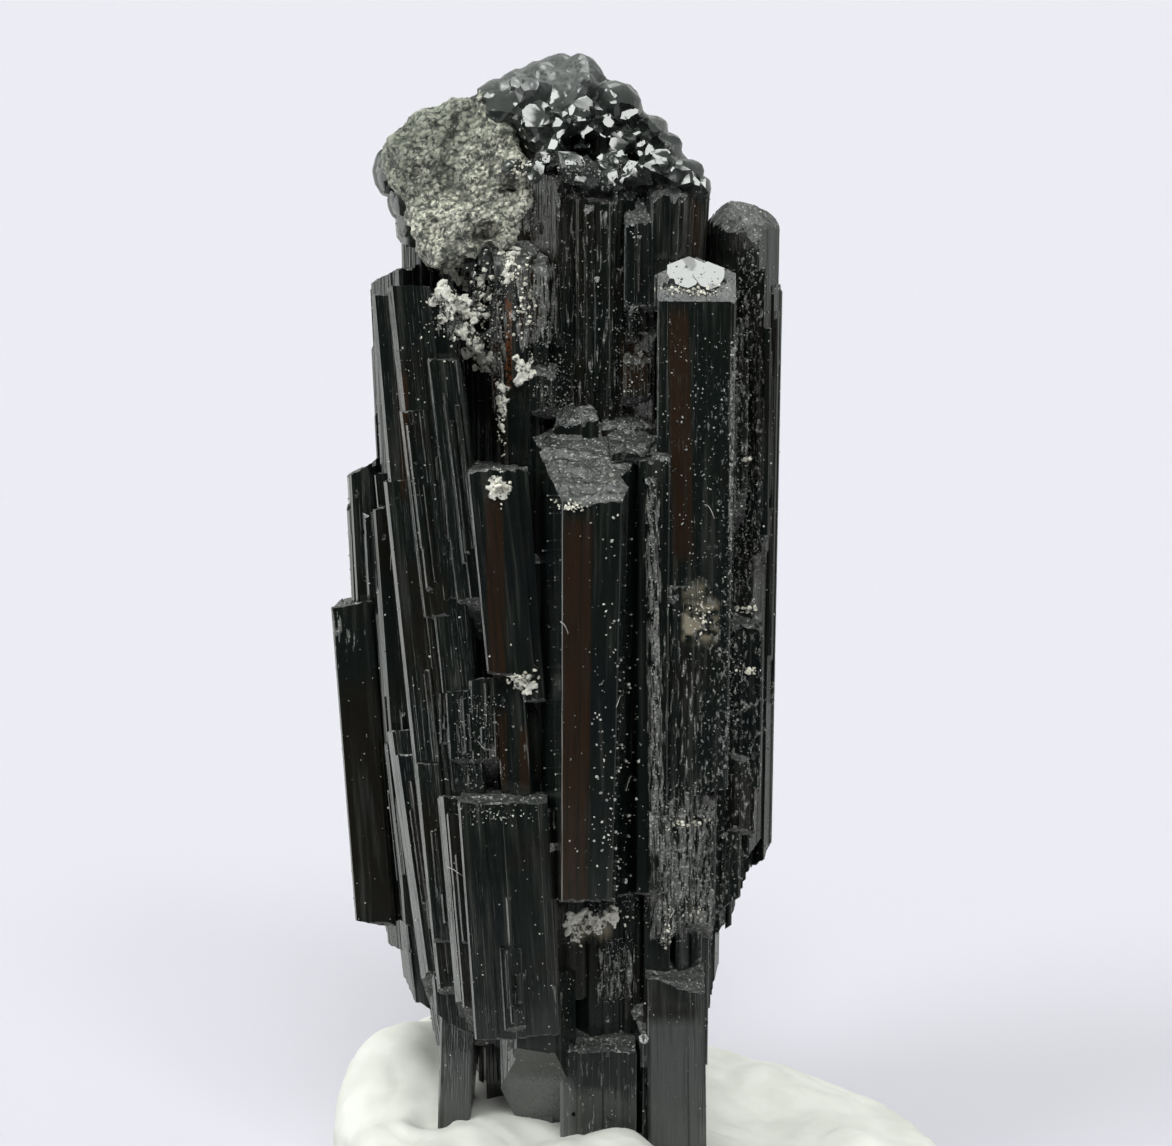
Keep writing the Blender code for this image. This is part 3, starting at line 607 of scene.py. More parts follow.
# %% Heap and fuse the beads of the crown
# Each large knob: its centre, and its half width, half depth and half height.
KNOBS = (
    ((-3.75, 0.3, 41.5), (1.5, 2.0, 1.45)),
    ((-2.45, 0.1, 41.6), (1.35, 1.8, 1.3)),
    ((-3.1, 1.2, 41.8), (1.6, 1.6, 1.3)),
    ((-3.3, -0.9, 41.5), (1.2, 1.0, 0.9)),
    ((-4.75, -0.4, 41.35), (1.25, 1.3, 0.95)),
    ((-1.15, -0.3, 41.25), (1.15, 1.6, 1.1)),
    ((-3.6, -1.6, 40.9), (1.0, 0.8, 0.6)),
    ((-2.3, -1.5, 41.2), (0.7, 0.9, 0.9)),
    ((0.2, -0.3, 40.55), (0.6, 1.2, 0.65)),
    ((0.75, -0.6, 39.85), (0.55, 1.2, 0.55)),
    ((1.2, -0.6, 39.3), (0.5, 1.1, 0.5)),
    ((0.3, -2.3, 39.5), (0.75, 0.9, 0.45)),
    ((1.1, -2.1, 39.2), (0.7, 1.0, 0.42)),
    ((1.75, -1.8, 38.7), (0.4, 0.9, 0.36)),
    ((-8.8, 0.4, 39.1), (0.75, 1.0, 0.8)),
    ((-8.3, -0.2, 38.0), (0.65, 1.2, 0.75)),
    ((-8.15, -0.6, 36.95), (0.6, 1.2, 0.6)),
    ((-5.6, 0.6, 41.2), (0.7, 1.0, 0.6)),
)
SLOPE_TOP, SLOPE_FOOT = Vector((-2.5, -1.6, 41.3)), Vector((-1.9, -2.9, 39.1))
SMALL_KNOBS = 75
PATCH_KNOBS = 70  # beside the mica crust there is a second, smaller heap
PATCH_X, PATCH_Z, PATCH_FACE = (-7.6, -5.0), (33.4, 36.3), -3.3
CROWN_VOXEL, CROWN_TOP = 0.075, 43.18  # mm
CROWN_DENT, CROWN_FOLD, CROWN_FOLDS_PER_MM = 0.1, 0.6, 0.6  # how deep, and how close together
MORE_FACETS = 60  # beside those in the table
WINDOW_WAYS = (246, 268, 284)  # azimuths at which a facet mirrors one of the windows
FACET_RAGGED = 0.9  # how far a polished facet is from round
# Each polished facet: its x, z and radius, and the way it faces, at which it mirrors a window to the viewer.
FACETS = (
    (-3.77, 41.21, 0.5, 268, 59),
    (-2.14, 41.71, 0.36, 268, 59),
    (-0.48, 41.15, 0.32, 268, 59),
    (-1.84, 40.1, 0.22, 284, 60),
    (-3.23, 40.17, 0.22, 246, 58),
    (0.38, 39.9, 0.4, 284, 60),
    (0.07, 39.45, 0.34, 268, 59),
    (-5.2, 41.95, 0.22, 246, 58),
    (-4.9, 42.1, 0.24, 268, 59),
    (-4.55, 42.15, 0.24, 268, 59),
    (-4.15, 42.2, 0.22, 268, 59),
    (-3.75, 42.2, 0.2, 268, 59),
    (-2.9, 40.7, 0.26, 268, 59),
    (-1.3, 40.9, 0.26, 284, 60),
)
CROWN_KEEP = 0.13  # the share of the remeshed faces that stay


def lumpy_bead(shape, centre, half, chance, fineness=2, unevenness=0.1):
    """A knob: an icosphere with its corners pushed in and out, stretched to its half sizes."""
    made = bmesh.ops.create_icosphere(shape, subdivisions=fineness, radius=1)["verts"]
    for vertex in made:
        vertex.co *= 1 + chance.uniform(-unevenness, unevenness)
    turn = Matrix.Rotation(chance.uniform(0, pi), 4, Vector((chance.random(), chance.random(), 1)))
    size = Matrix.Diagonal((*half, 1))
    bmesh.ops.transform(shape, matrix=Matrix.Translation(centre) @ size @ turn, verts=made)


def crown_height(x):
    """How high the heap of small knobs reaches at x: it falls to the right."""
    return 41.2 - 0.11 * max(0, x + 3.2) ** 2 - 0.05 * min(0, x + 3.2) ** 2


def flatten(mesh, middle, normal, radius):
    """Presses a round patch of the mesh on to one plane, like a small polished face."""
    for vertex in mesh.vertices:
        away = vertex.co / MM - middle
        off_plane = away.dot(normal)
        across = (away - normal * off_plane).length
        reach = radius * (1 + FACET_RAGGED * noise.noise(vertex.co / MM * 2.4))
        if across < reach and abs(off_plane) < radius * 1.5:
            vertex.co -= normal * off_plane * MM * min(1, 8 * (1 - across / reach))


def apply_modifiers(thing):
    """Replaces the object's mesh with the one its modifiers make."""
    graph = bpy.context.evaluated_depsgraph_get()
    mesh = bpy.data.meshes.new_from_object(thing.evaluated_get(graph))
    thing.modifiers.clear()
    thing.data = mesh


def fuse(thing, voxel):
    """Melts overlapping shapes into one even skin. Returns its corners, each with the way it faces."""
    remesh = thing.modifiers.new("fuse", "REMESH")
    remesh.mode = "VOXEL"
    remesh.voxel_size = voxel * MM
    apply_modifiers(thing)
    return [(vertex, vertex.normal.copy()) for vertex in thing.data.vertices]


chance = Random("crown")
shape = bmesh.new()
for centre, half in KNOBS:
    lumpy_bead(shape, Vector(centre), half, chance, fineness=2, unevenness=0.1)
for _ in range(PATCH_KNOBS):
    x, z = chance.uniform(*PATCH_X), chance.uniform(*PATCH_Z)
    y = PATCH_FACE + 0.45 * (z - PATCH_Z[0]) + chance.uniform(-0.1, 0.5)
    size = chance.uniform(0.1, 0.32)
    lumpy_bead(shape, Vector((x, y, z)), (size, size, size * 1.4), chance, fineness=1, unevenness=0.22)
for _ in range(SMALL_KNOBS):
    down = chance.random()
    x = chance.uniform(-4.5, 1.0)
    z = crown_height(x) * (1 - down) + (39.0 + 0.12 * abs(x + 2)) * down
    y = SLOPE_TOP.y * (1 - down) + SLOPE_FOOT.y * down + 0.12 * abs(x + 2.2) + chance.uniform(-0.05, 0.4)
    size = chance.uniform(0.18, 0.52)
    half = (size * 1.2, size, size * chance.uniform(0.7, 1.5))
    lumpy_bead(shape, Vector((x, y, z)), half, chance, fineness=1, unevenness=0.22)
crown = object_of("crown_beads", shape)
for vertex, normal in fuse(crown, CROWN_VOXEL):
    place = vertex.co / MM
    fold = abs(noise.noise(place * CROWN_FOLDS_PER_MM)) - 0.25
    dent = noise.noise(place * 1.6) + 0.3 * noise.noise(place * 4.5)
    vertex.co += normal * MM * (CROWN_FOLD * fold + CROWN_DENT * (dent - 0.3))
    vertex.co.z = min(vertex.co.z, CROWN_TOP * MM)
glints = []
for _ in range(MORE_FACETS):
    x = chance.uniform(-4.6, 2.1)
    z = chance.uniform(39.0, 0.4 + crown_height(x))
    glints.append((x, z, chance.uniform(0.14, 0.3), chance.choice(WINDOW_WAYS), chance.gauss(59, 2)))
for x, z, radius, azimuth, tilt in (*glints, *FACETS):
    normal = leaning(azimuth, tilt)
    near = [v for v in crown.data.vertices if (v.co.xz / MM - Vector((x, z))).length < 0.1]
    if near:
        middle = min(near, key=lambda v: v.co.y).co / MM
        flatten(crown.data, middle, normal, radius)
facet = crown.modifiers.new("facet", "DECIMATE")
facet.ratio = CROWN_KEEP
apply_modifiers(crown)
glassy = crown.data.attributes.new("glassy", "FLOAT", "FACE")
glassy.data.foreach_set("value", [1.0] * len(crown.data.polygons))
print("crown faces:", len(crown.data.polygons))

# %% [markdown]
# ## Chipped edges
#
# A real crystal has lost many small splinters from its edges. Each is cut with a jagged bead placed on the
# rim of a prism's end.

# %% Place the cutters for the chips
CHIPS_PER_END, CHIP_SIZES = 5, (0.05, 0.15)


def chip_cutters(prism, chance):
    """Jagged beads round the rims of both ends of a prism."""
    middle_y = prism.face + prism.depth / 2
    made = []
    for height in (prism.high, prism.low):
        for _ in range(CHIPS_PER_END):
            azimuth = radians(chance.uniform(180, 360))
            x = prism.x + prism.lean * (height - (prism.low + prism.high) / 2)
            x += prism.width / 2 * cos(azimuth)
            y = middle_y + prism.depth / 2 * sin(azimuth)
            size = chance.uniform(*CHIP_SIZES)
            place = Vector((x, y, height + chance.uniform(-0.7, 0.1)))
            shape = new_shape()
            lumpy_bead(shape, place, (size, size, size * 1.6), chance, unevenness=0.2)
            mark(shape, rough=1)
            made.append(shape)
    return made


chance = Random("chips")
chips = [shape for prism in PRISMS if prism.tip != "dome" for shape in chip_cutters(prism, chance)]
print("chips:", len(chips))

# %% [markdown]
# ## One solid crystal
#
# Crystals that grew together are one piece, so everything above is joined with a single Boolean union. The
# Manifold solver joins hundreds of closed shapes in seconds, and keeps the face layers. What the union
# seals inside the bundle is thrown away.

# %% Unite the prisms, plates, lamellae and crown
def gather(name, things):
    """Moves objects into a collection, for a Boolean to use."""
    group = bpy.data.collections.new(name)
    for thing in things:
        bpy.context.scene.collection.objects.unlink(thing)
        group.objects.link(thing)
    bpy.context.scene.collection.children.link(group)
    return group


def combine(thing, group, operation):
    """One Boolean of the object with all the objects of a collection, which are then removed."""
    boolean = thing.modifiers.new(group.name, "BOOLEAN")
    boolean.operation = operation
    boolean.operand_type = "COLLECTION"
    boolean.collection = group
    boolean.solver = "MANIFOLD"
    apply_modifiers(thing)
    for helper in list(group.objects):
        bpy.data.objects.remove(helper)
    bpy.data.collections.remove(group)


def keep_largest(thing):
    """Deletes every loose shell but the largest, such as pockets sealed inside the bundle."""
    shape = bmesh.new()
    shape.from_mesh(thing.data)
    unseen = set(shape.verts)
    shells = []
    while unseen:
        shell = {unseen.pop()}
        search = list(shell)
        while search:
            for edge in search.pop().link_edges:
                for vertex in edge.verts:
                    if vertex in unseen:
                        unseen.discard(vertex)
                        shell.add(vertex)
                        search.append(vertex)
        shells.append(shell)
    largest = max(shells, key=len)
    bmesh.ops.delete(shape, geom=[v for v in shape.verts if v not in largest], context="VERTS")
    bmesh.ops.triangulate(shape, faces=shape.faces)
    shape.to_mesh(thing.data)
    shape.free()
    return len(shells)


SHARPEST_SMOOTH = 22  # degrees: faces that meet at less than this shade as one
SHARPEST_GLASSY = 24  # the same on the crown, which is glassier and rounder


def shade_breaks(mesh):
    """Smooth shading for the crown and the broken ends only, so that the growth faces stay flat."""
    soft = [0.0] * len(mesh.polygons)
    for name in ("rough", "glassy"):
        values = [0.0] * len(mesh.polygons)
        mesh.attributes[name].data.foreach_get("value", values)
        soft = [max(pair) for pair in zip(soft, values)]
    mesh.polygons.foreach_set("use_smooth", [value > 0.5 for value in soft])
    shape = bmesh.new()
    shape.from_mesh(mesh)
    glass = shape.faces.layers.float["glassy"]
    for edge in shape.edges:
        is_glass = all(face[glass] > 0.5 for face in edge.link_faces)
        limit = radians(SHARPEST_GLASSY if is_glass else SHARPEST_SMOOTH)
        edge.smooth = edge.calc_face_angle(0) < limit
    shape.to_mesh(mesh)
    shape.free()


tourmaline = object_of("tourmaline_prisms", prism_bmesh(PRISMS[-1]))
rows = [*PRISMS[:-1], *plates, *lamellae]
grown = [object_of(prism.name, prism_bmesh(prism)) for prism in rows]
combine(tourmaline, gather("grown_together", [crown, *grown]), "UNION")
combine(tourmaline, gather("splinters", [object_of("splinter", shape) for shape in chips]), "DIFFERENCE")
shells = keep_largest(tourmaline)
shade_breaks(tourmaline.data)
print("shells after the union:", shells, "triangles:", len(tourmaline.data.polygons))

# %% [markdown]
# ## Feeling for the surface
#
# Crumbs, grit and dust lie on the crystal. A BVH tree is a fast way to ask where a line first meets a mesh.
# It is built once, in millimetres, and each loose thing is dropped on to the surface along its own line.

# %% Build a tree for finding the surface
def tree_of(thing):
    shape = bmesh.new()
    shape.from_mesh(thing.data)
    bmesh.ops.scale(shape, vec=(1 / MM, 1 / MM, 1 / MM), verts=shape.verts)
    tree = BVHTree.FromBMesh(shape)
    shape.free()
    return tree


crystal_tree = tree_of(tourmaline)
REACH = 30  # mm from the bundle's axis, where every line starts
AXIS = Vector((-2.9, 0.4, 0))


def surface_from(azimuth, height, across):
    """Where a level line that comes in from an azimuth, `across` mm off the axis, meets the crystal."""
    out = Vector((cos(radians(azimuth)), sin(radians(azimuth)), 0))
    side = Vector((-out.y, out.x, 0))
    start = AXIS + out * REACH + side * across + Vector((0, 0, height))
    point, normal, _, _ = crystal_tree.ray_cast(start, -out)
    return point, normal


point, _ = surface_from(FRONT, 22, 1.0)
print("the front column's face is at y =", round(point.y, 2))

# %% [markdown]
# ## The mica crust
#
# The crust is a granular mass of tiny mica flakes. It starts as an extruded outline. A voxel remesh gives
# it an even skin of small faces, and then noise moves the skin: broad lumps, knobs about a millimetre
# across, and fine grains. Each corner remembers in an attribute how deep it lies, and the material darkens
# the gaps between the grains and the hollows by it: painted shade.

# %% Model the mica crust
MICA_OUTLINE = (
    (-8.9, 40.3), (-7.75, 41.35), (-6.0, 41.8), (-5.35, 41.85), (-4.5, 40.6), (-4.2, 39.6), (-3.9, 38.6),
    (-3.7, 38.1), (-4.4, 37.7), (-4.6, 36.8), (-6.0, 36.6), (-7.0, 36.1), (-7.8, 36.4), (-8.0, 37.3),
    (-8.5, 38.6), (-9.05, 39.4),
)
MICA_FRONT, MICA_BACK = -2.9, 1.5  # y of its face at its lower end, and of its hidden back
MICA_SLOPE = 0.28  # dy/dz: the face lies back towards the top
MICA_LOW = 35.4  # z where MICA_FRONT is measured
MICA_ROUNDING, MICA_VOXEL = 0.3, 0.07  # mm
# Each size of relief: how many to a millimetre, and how far it moves the skin.
MICA_RELIEF = ((0.4, 0.5), (1.1, 0.36), (2.6, 0.13), (5.5, 0.06))
GRAINS_PER_MM = 4.6
GRAIN_DEPTH = 0.06
# Each hollow: its centre, radius and depth.
HOLLOWS = (
    (Vector((-5.45, -2.3, 37.1)), 0.55, 0.8),
    (Vector((-4.55, -2.0, 39.0)), 0.45, 0.5),
    (Vector((-7.3, -2.0, 37.3)), 0.5, 0.35),
)

shape = bmesh.new()
ring = [shape.verts.new((x, MICA_FRONT + MICA_SLOPE * (z - MICA_LOW), z)) for x, z in MICA_OUTLINE]
face = bmesh.ops.contextual_create(shape, geom=ring)["faces"]
moved = bmesh.ops.extrude_face_region(shape, geom=face)["geom"]
for vertex in only(bmesh.types.BMVert, moved):
    vertex.co.y = MICA_BACK
bmesh.ops.recalc_face_normals(shape, faces=shape.faces)
bmesh.ops.bevel(
    shape, geom=shape.edges[:], offset=MICA_ROUNDING, segments=2, profile=0.5, affect="EDGES", material=-1
)
mica = object_of("mica_crust_grains", shape)
gap_shade_values = []
for vertex, normal in fuse(mica, MICA_VOXEL):
    place = vertex.co / MM
    waves = [depth * noise.noise(place * often) for often, depth in MICA_RELIEF]
    cells, _ = noise.voronoi(place * GRAINS_PER_MM)
    grain = min(1, cells[1] - cells[0])
    move = sum(waves) + GRAIN_DEPTH * (grain ** 0.5 - 0.8) + 0.02 * noise.noise(place * 12)
    hollow = 0
    for centre, radius, depth in HOLLOWS:
        inside = max(0, 1 - (place - centre).length / radius)
        move -= depth * inside ** 0.5
        hollow = max(hollow, inside)
    vertex.co += normal * move * MM
    # Painted shade: the lower this value, the darker the gaps between the grains and the hollows.
    gap_shade_values.append((0.6 + 1.5 * (waves[1] + waves[2])) * min(1, grain * 2.2) * (1 - hollow))
gap_shade_layer = mica.data.attributes.new("grain_depth", "FLOAT", "POINT")
gap_shade_layer.data.foreach_set("value", gap_shade_values)
print("mica crust faces:", len(mica.data.polygons))

# %% [markdown]
# ## The putty foot
#
# Mineral tack is a soft putty that is rolled into a ball, set down and pressed round the specimen. A sphere
# with its poles on top and underneath makes a good start: one formula flattens it into a pad with a level
# underside, and noise adds the lumps. Where the specimen was pushed in, the putty was dragged into fine
# folds.

# %% Model the putty pad
FOOT_HALF_X, FOOT_HALF_Y = 11.8, 9.9
FOOT_MID_HEIGHT, FOOT_HEIGHT_SWING, FOOT_SWING_WIDTH = 3.5, 1.6, 4.0
FOOT_TWIST, EULER = 0.1, 2.718281828
SPREAD, STEEP = 0.8, 0.15  # powers: how the pad's points are spread out from its middle, and its side
# Each lump or dent: its x, y, radius and height.
LUMPS = (
    (-9.3, 1.8, 2.4, 0.9), (-7.9, -3.0, 1.1, -0.7), (-8.2, -6.2, 2.0, 0.5), (4.5, -6.5, 2.6, 0.7),
    (8.6, -1.5, 2.8, 0.6), (1.6, -8.4, 1.9, 0.5), (6.8, -4.6, 1.2, -0.5), (5.5, 5.5, 2.6, 0.6),
    (-3.0, 7.6, 2.6, 0.6), (0.6, 7.0, 1.2, -0.5), (-2.2, -7.6, 1.6, 0.4), (-0.8, -6.2, 3.4, 1.5),
    (-3.4, -6.0, 1.4, 0.5), (-5.4, -8.0, 1.1, -0.4), (3.1, -3.6, 1.0, 0.5),
)


def foot_height(x, y):
    """Height of the pad's top, which falls from left to right and from back to front."""
    swing = (2 / (1 + EULER ** (-2 * x / FOOT_SWING_WIDTH))) - 1
    return FOOT_MID_HEIGHT - FOOT_HEIGHT_SWING * swing - FOOT_TWIST * y * swing


def shape_pad(vertex):
    """Moves a point of a unit sphere to its place on the pad."""
    flat = Vector((vertex.co.x, vertex.co.y))
    reach = flat.length
    share = reach ** SPREAD
    rise = max(0, 1 - reach ** 2) ** STEEP if vertex.co.z >= 0 else 0
    direction = flat.normalized() if reach > 1e-6 else flat
    x = direction.x * share * FOOT_HALF_X
    y = direction.y * share * FOOT_HALF_Y
    z = rise * foot_height(x, y)
    tuck = 0.95 + 0.05 * min(1, z / 0.8)
    vertex.co = (x * tuck, y * tuck, z)


def putty_relief(place):
    """How much the putty stands out at a place: slow lumps, finger dents and fine drag folds."""
    lumps = 0.45 * noise.noise(place * 0.28) + 0.16 * noise.noise(place * 0.9)
    for x, y, radius, height in LUMPS:
        near = max(0, 1 - ((place.x - x) ** 2 + (place.y - y) ** 2) / radius ** 2)
        lumps += height * near ** 2
    folded = max(0, 1 - ((place.x + 0.2) ** 2 / 22 + (place.y + 6.4) ** 2 / 6))
    run = place.x * 1.3 + place.y * 3.4 + 3.0 * noise.noise(place * 0.5)
    folds = folded * 0.24 * (abs(sin(run * 1.5)) ** 0.6 - 0.6) * (0.6 + noise.noise(place * 0.7))
    creases = -0.12 * max(0, 0.12 - abs(noise.noise(place * 0.4 + Vector((7, 3, 0))))) / 0.12
    return lumps + folds + creases + 0.025 * noise.noise(place * 5)


shape = bmesh.new()
bmesh.ops.create_uvsphere(shape, u_segments=200, v_segments=110, radius=1)
for vertex in shape.verts:
    shape_pad(vertex)
shape.normal_update()
moves = [(vertex, vertex.normal.copy(), putty_relief(vertex.co)) for vertex in shape.verts]
for vertex, normal, relief in moves:
    if vertex.co.z > 0.02:
        up = min(1, vertex.co.z / 1.5)
        vertex.co += normal * relief * up
        vertex.co.z = max(0.05, vertex.co.z)
for vertex in shape.verts:
    vertex.co.x = max(-FOOT_HALF_X, min(FOOT_HALF_X, vertex.co.x))
    vertex.co.y = max(-FOOT_HALF_Y, min(FOOT_HALF_Y, vertex.co.y))
for face in shape.faces:
    face.smooth = True
putty = object_of("putty_pad", shape)
print("putty faces:", len(putty.data.polygons))

# %% [markdown]
# ## Crumbs of pale mineral
#
# Cream feldspar and mica crumbs sit on the ledges. A crumb is an icosphere that noise has made angular.
# Each cluster is a heap of them at one spot, the lowest pressed into the crystal and the others piled on
# it.

# %% Heap crumbs on the ledges
# Each cluster: x, z, its half width and half height in mm, the number of crumbs, and the largest one's size.
CRUMB_CLUSTERS = (
    (-5.93, 32.9, 0.4, 0.6, 36, 0.1),
    (-5.3, 33.9, 0.6, 0.9, 40, 0.06),
    (-4.98, 28.9, 0.36, 0.3, 44, 0.12),
    (-4.34, 21.9, 0.44, 0.34, 60, 0.12),
    (-1.72, 12.35, 1.1, 0.26, 80, 0.09),
    (-2.3, 11.9, 0.3, 0.5, 24, 0.08),
    (-6.4, 35.0, 1.0, 1.5, 240, 0.06),
    (-5.8, 33.6, 0.4, 0.9, 90, 0.06),
    (-4.98, 30.6, 0.14, 1.7, 90, 0.06),
    (-4.6, 36.0, 0.4, 0.6, 50, 0.07),
    (-4.1, 35.0, 0.4, 1.4, 50, 0.09),
    (-4.3, 39.3, 0.3, 0.7, 40, 0.1),
    (-2.6, 28.5, 0.6, 0.2, 44, 0.08),
    (-4.9, 17.2, 1.6, 0.2, 14, 0.05),
    (1.7, 35.5, 1.0, 0.2, 60, 0.08),
    (3.54, 29.4, 0.12, 0.2, 8, 0.12),
    (3.7, 23.7, 0.4, 0.15, 26, 0.1),
    (3.8, 21.6, 0.4, 0.12, 22, 0.1),
    (1.96, 24.0, 0.5, 1.0, 50, 0.07),
    (1.7, 16.4, 0.8, 0.15, 30, 0.08),
    (2.0, 12.9, 0.2, 0.2, 10, 0.1),
    (0.9, 12.1, 0.15, 1.0, 30, 0.09),
)
PILE_HEIGHT = 0.22  # mm that the topmost crumbs stand off the surface
BATCH = 40  # grains


def crumb(shape, place, size, chance, fineness=1):
    """An angular grain: an icosphere with its corners pushed about, flattened and turned at random."""
    made = bmesh.ops.create_icosphere(shape, subdivisions=fineness, radius=size)["verts"]
    for vertex in made:
        vertex.co *= 1 + chance.uniform(-0.35, 0.3)
    turn = Matrix.Rotation(chance.uniform(0, 2 * pi), 4, Vector([chance.uniform(-1, 1) for _ in range(3)]))
    size = Matrix.Diagonal((1, chance.uniform(0.4, 0.9), chance.uniform(0.6, 1), 1))
    bmesh.ops.transform(shape, matrix=Matrix.Translation(place) @ turn @ size, verts=made)


def heap_of(name, grains, chance):
    """One object from many grains, each a place and a size.

    An operator call takes longer in a larger bmesh, so the grains are made in small batches.
    """
    whole, batch = bmesh.new(), bmesh.new()
    scrap = bpy.data.meshes.new("scrap")
    for first in range(0, len(grains), BATCH):
        for place, size in grains[first:first + BATCH]:
            crumb(batch, place, size, chance)
        batch.to_mesh(scrap)
        whole.from_mesh(scrap)
        batch.clear()
    bpy.data.meshes.remove(scrap)
    return object_of(name, whole)


LUMPS_OF_SUGAR = (  # x, z and size of each lump of the fused mineral
    (-7.1, 36.35, 0.42), (-6.6, 36.1, 0.4), (-6.9, 35.7, 0.3), (-6.45, 35.35, 0.3), (-7.15, 35.2, 0.16),
    (-6.25, 34.75, 0.24), (-6.6, 34.85, 0.18), (-6.9, 34.5, 0.14), (-6.05, 34.2, 0.22),
    (-6.35, 33.9, 0.18), (-5.7, 34.4, 0.18), (-5.5, 35.0, 0.16), (-5.6, 35.6, 0.2), (-6.05, 33.3, 0.2),
    (-5.95, 32.95, 0.3), (-5.75, 32.55, 0.24), (-5.6, 32.25, 0.13), (-4.2, 32.75, 0.22),
    (-4.28, 32.35, 0.16), (-3.95, 32.5, 0.1), (-4.75, 37.3, 0.3), (-4.75, 36.75, 0.27),
    (-4.72, 36.25, 0.22), (-4.68, 35.8, 0.14), (-4.98, 31.95, 0.13), (-4.96, 31.55, 0.15),
    (-4.94, 31.15, 0.12), (-5.02, 30.6, 0.09), (-4.98, 28.9, 0.24), (-5.15, 29.05, 0.18),
    (-4.34, 21.9, 0.26), (-4.1, 21.85, 0.2), (-4.6, 22.0, 0.12), (-2.65, 12.5, 0.2), (-2.3, 12.35, 0.26),
    (-1.95, 12.5, 0.24), (-1.6, 12.4, 0.26), (-1.3, 12.5, 0.2), (-2.45, 11.95, 0.14), (-1.0, 12.4, 0.14),
)
SUGAR_VOXEL = 0.05  # mm
SUGAR_PARTS = 16  # small beads to a lump
SUGAR_RELIEF, SUGAR_GRAINS = 0.07, 7  # mm, and how many to a millimetre
shape = bmesh.new()
chance = Random("sugar")
for x, z, size in LUMPS_OF_SUGAR:
    for _ in range(SUGAR_PARTS):
        off_x, off_z = chance.gauss(0, size * 0.7), chance.gauss(0, size * 0.75)
        point, normal = surface_from(FRONT, z + off_z, x - AXIS.x + off_x)
        if point is not None:
            part = 0.04 + size * chance.uniform(0.3, 0.65)
            half = (part, part * 0.5, part)
            lumpy_bead(shape, point, half, chance, fineness=1, unevenness=0.2)
sugar = object_of("mineral_lumps", shape)
for vertex, normal in fuse(sugar, SUGAR_VOXEL):
    vertex.co += normal * MM * SUGAR_RELIEF * noise.noise(vertex.co / MM * SUGAR_GRAINS)
print("mineral lump faces:", len(sugar.data.polygons))

grains = []
chance = Random("crumbs")
for x, z, half_width, half_height, count, size in CRUMB_CLUSTERS:
    for number in range(count):
        off_x, off_z = chance.gauss(0, half_width / 2), chance.gauss(0, half_height / 2)
        point, normal = surface_from(FRONT, z + off_z, x - AXIS.x + off_x)
        if point is not None:
            middle = max(0, 1 - (off_x / half_width) ** 2 - (off_z / half_height) ** 2)
            lift = normal * PILE_HEIGHT * middle * chance.random() * size / 0.15
            grains.append((point + lift, size * chance.uniform(0.3, 1) ** 1.3))
crumbs = heap_of("mineral_crumbs", grains, chance)
print("crumb faces:", len(crumbs.data.polygons))

# %% [markdown]
# ## Grit
#
# Broken tourmaline lies in the seams, on the ledges and at the foot of the crown as fine grit, which
# sparkles. Each zone of the table gets its own number of grains, and some lie anywhere on the sides and the
# back.

# %% Scatter the grit
# Each zone: x at its top, x at its foot, z of its top and foot, half width, and grains.
GRIT_ZONES = (
    (0.18, 0.48, 29.1, 16.4, 0.14, 520),
    (3.05, 3.08, 33.9, 26.4, 0.2, 420),
    (3.08, 3.2, 26.4, 19.5, 0.3, 300),
    (3.6, 3.7, 37.0, 24.0, 0.55, 520),
    (1.0, 1.2, 17.9, 11.6, 0.75, 620),
    (-0.9, -0.9, 11.6, 9.0, 0.75, 260),
    (-4.6, -3.4, 36.4, 33.3, 0.6, 420),
    (-4.4, -3.9, 39.4, 37.2, 0.35, 260),
    (-6.3, -6.3, 35.8, 33.9, 0.9, 480),
    (-5.1, -5.2, 35.4, 31.6, 0.35, 300),
    (-2.3, -2.0, 40.0, 38.6, 1.6, 420),
    (-0.5, -0.5, 34.9, 30.4, 0.8, 300),
    (-3.2, -2.9, 33.0, 30.8, 0.9, 260),
    (-5.7, -5.7, 21.3, 17.3, 1.2, 260),
    (-5.6, -5.2, 17.6, 16.9, 1.6, 60),
    (-0.6, -0.5, 13.5, 12.6, 1.6, 220),
    (-8.2, -7.6, 34.0, 28.0, 0.7, 60),
    (2.3, 2.1, 34.0, 12.0, 2.4, 900),
    (-1.6, -1.4, 40.0, 30.5, 2.8, 420),
)
GRIT_ALL_ROUND, SEAMS = 1500, 46  # grains anywhere on the sides, and the upright seams that they lie in
GRIT_SIZES = (0.014, 0.04)
LEDGE_GRAINS = 9  # on each square millimetre of a broken end


def settle(grains, azimuth, height, across, size, sunk=0.3):
    """Adds a grain where a line from outside meets the crystal."""
    point, normal = surface_from(azimuth, height, across)
    if point is not None:
        grains.append((point + normal * size * sunk, size))


grains = []
chance = Random("grit")
for top_x, foot_x, top_z, foot_z, half_width, count in GRIT_ZONES:
    for _ in range(count):
        share = chance.random()
        x = top_x + (foot_x - top_x) * share + chance.gauss(0, half_width / 2)
        size = chance.uniform(*GRIT_SIZES) * chance.choice((0.8, 1, 1, 1.5))
        settle(grains, FRONT, top_z + (foot_z - top_z) * share, x - AXIS.x, size, 0.2)
seams = [(chance.uniform(0, 360), chance.uniform(-7, 7)) for _ in range(SEAMS)]
for _ in range(GRIT_ALL_ROUND):
    azimuth, across = chance.choice(seams)
    size = chance.uniform(*GRIT_SIZES)
    settle(grains, azimuth, chance.uniform(6, 40), across + chance.gauss(0, 0.25), size, 0.2)
grit = heap_of("tourmaline_grit", grains, chance)
print("grit faces:", len(grit.data.polygons))


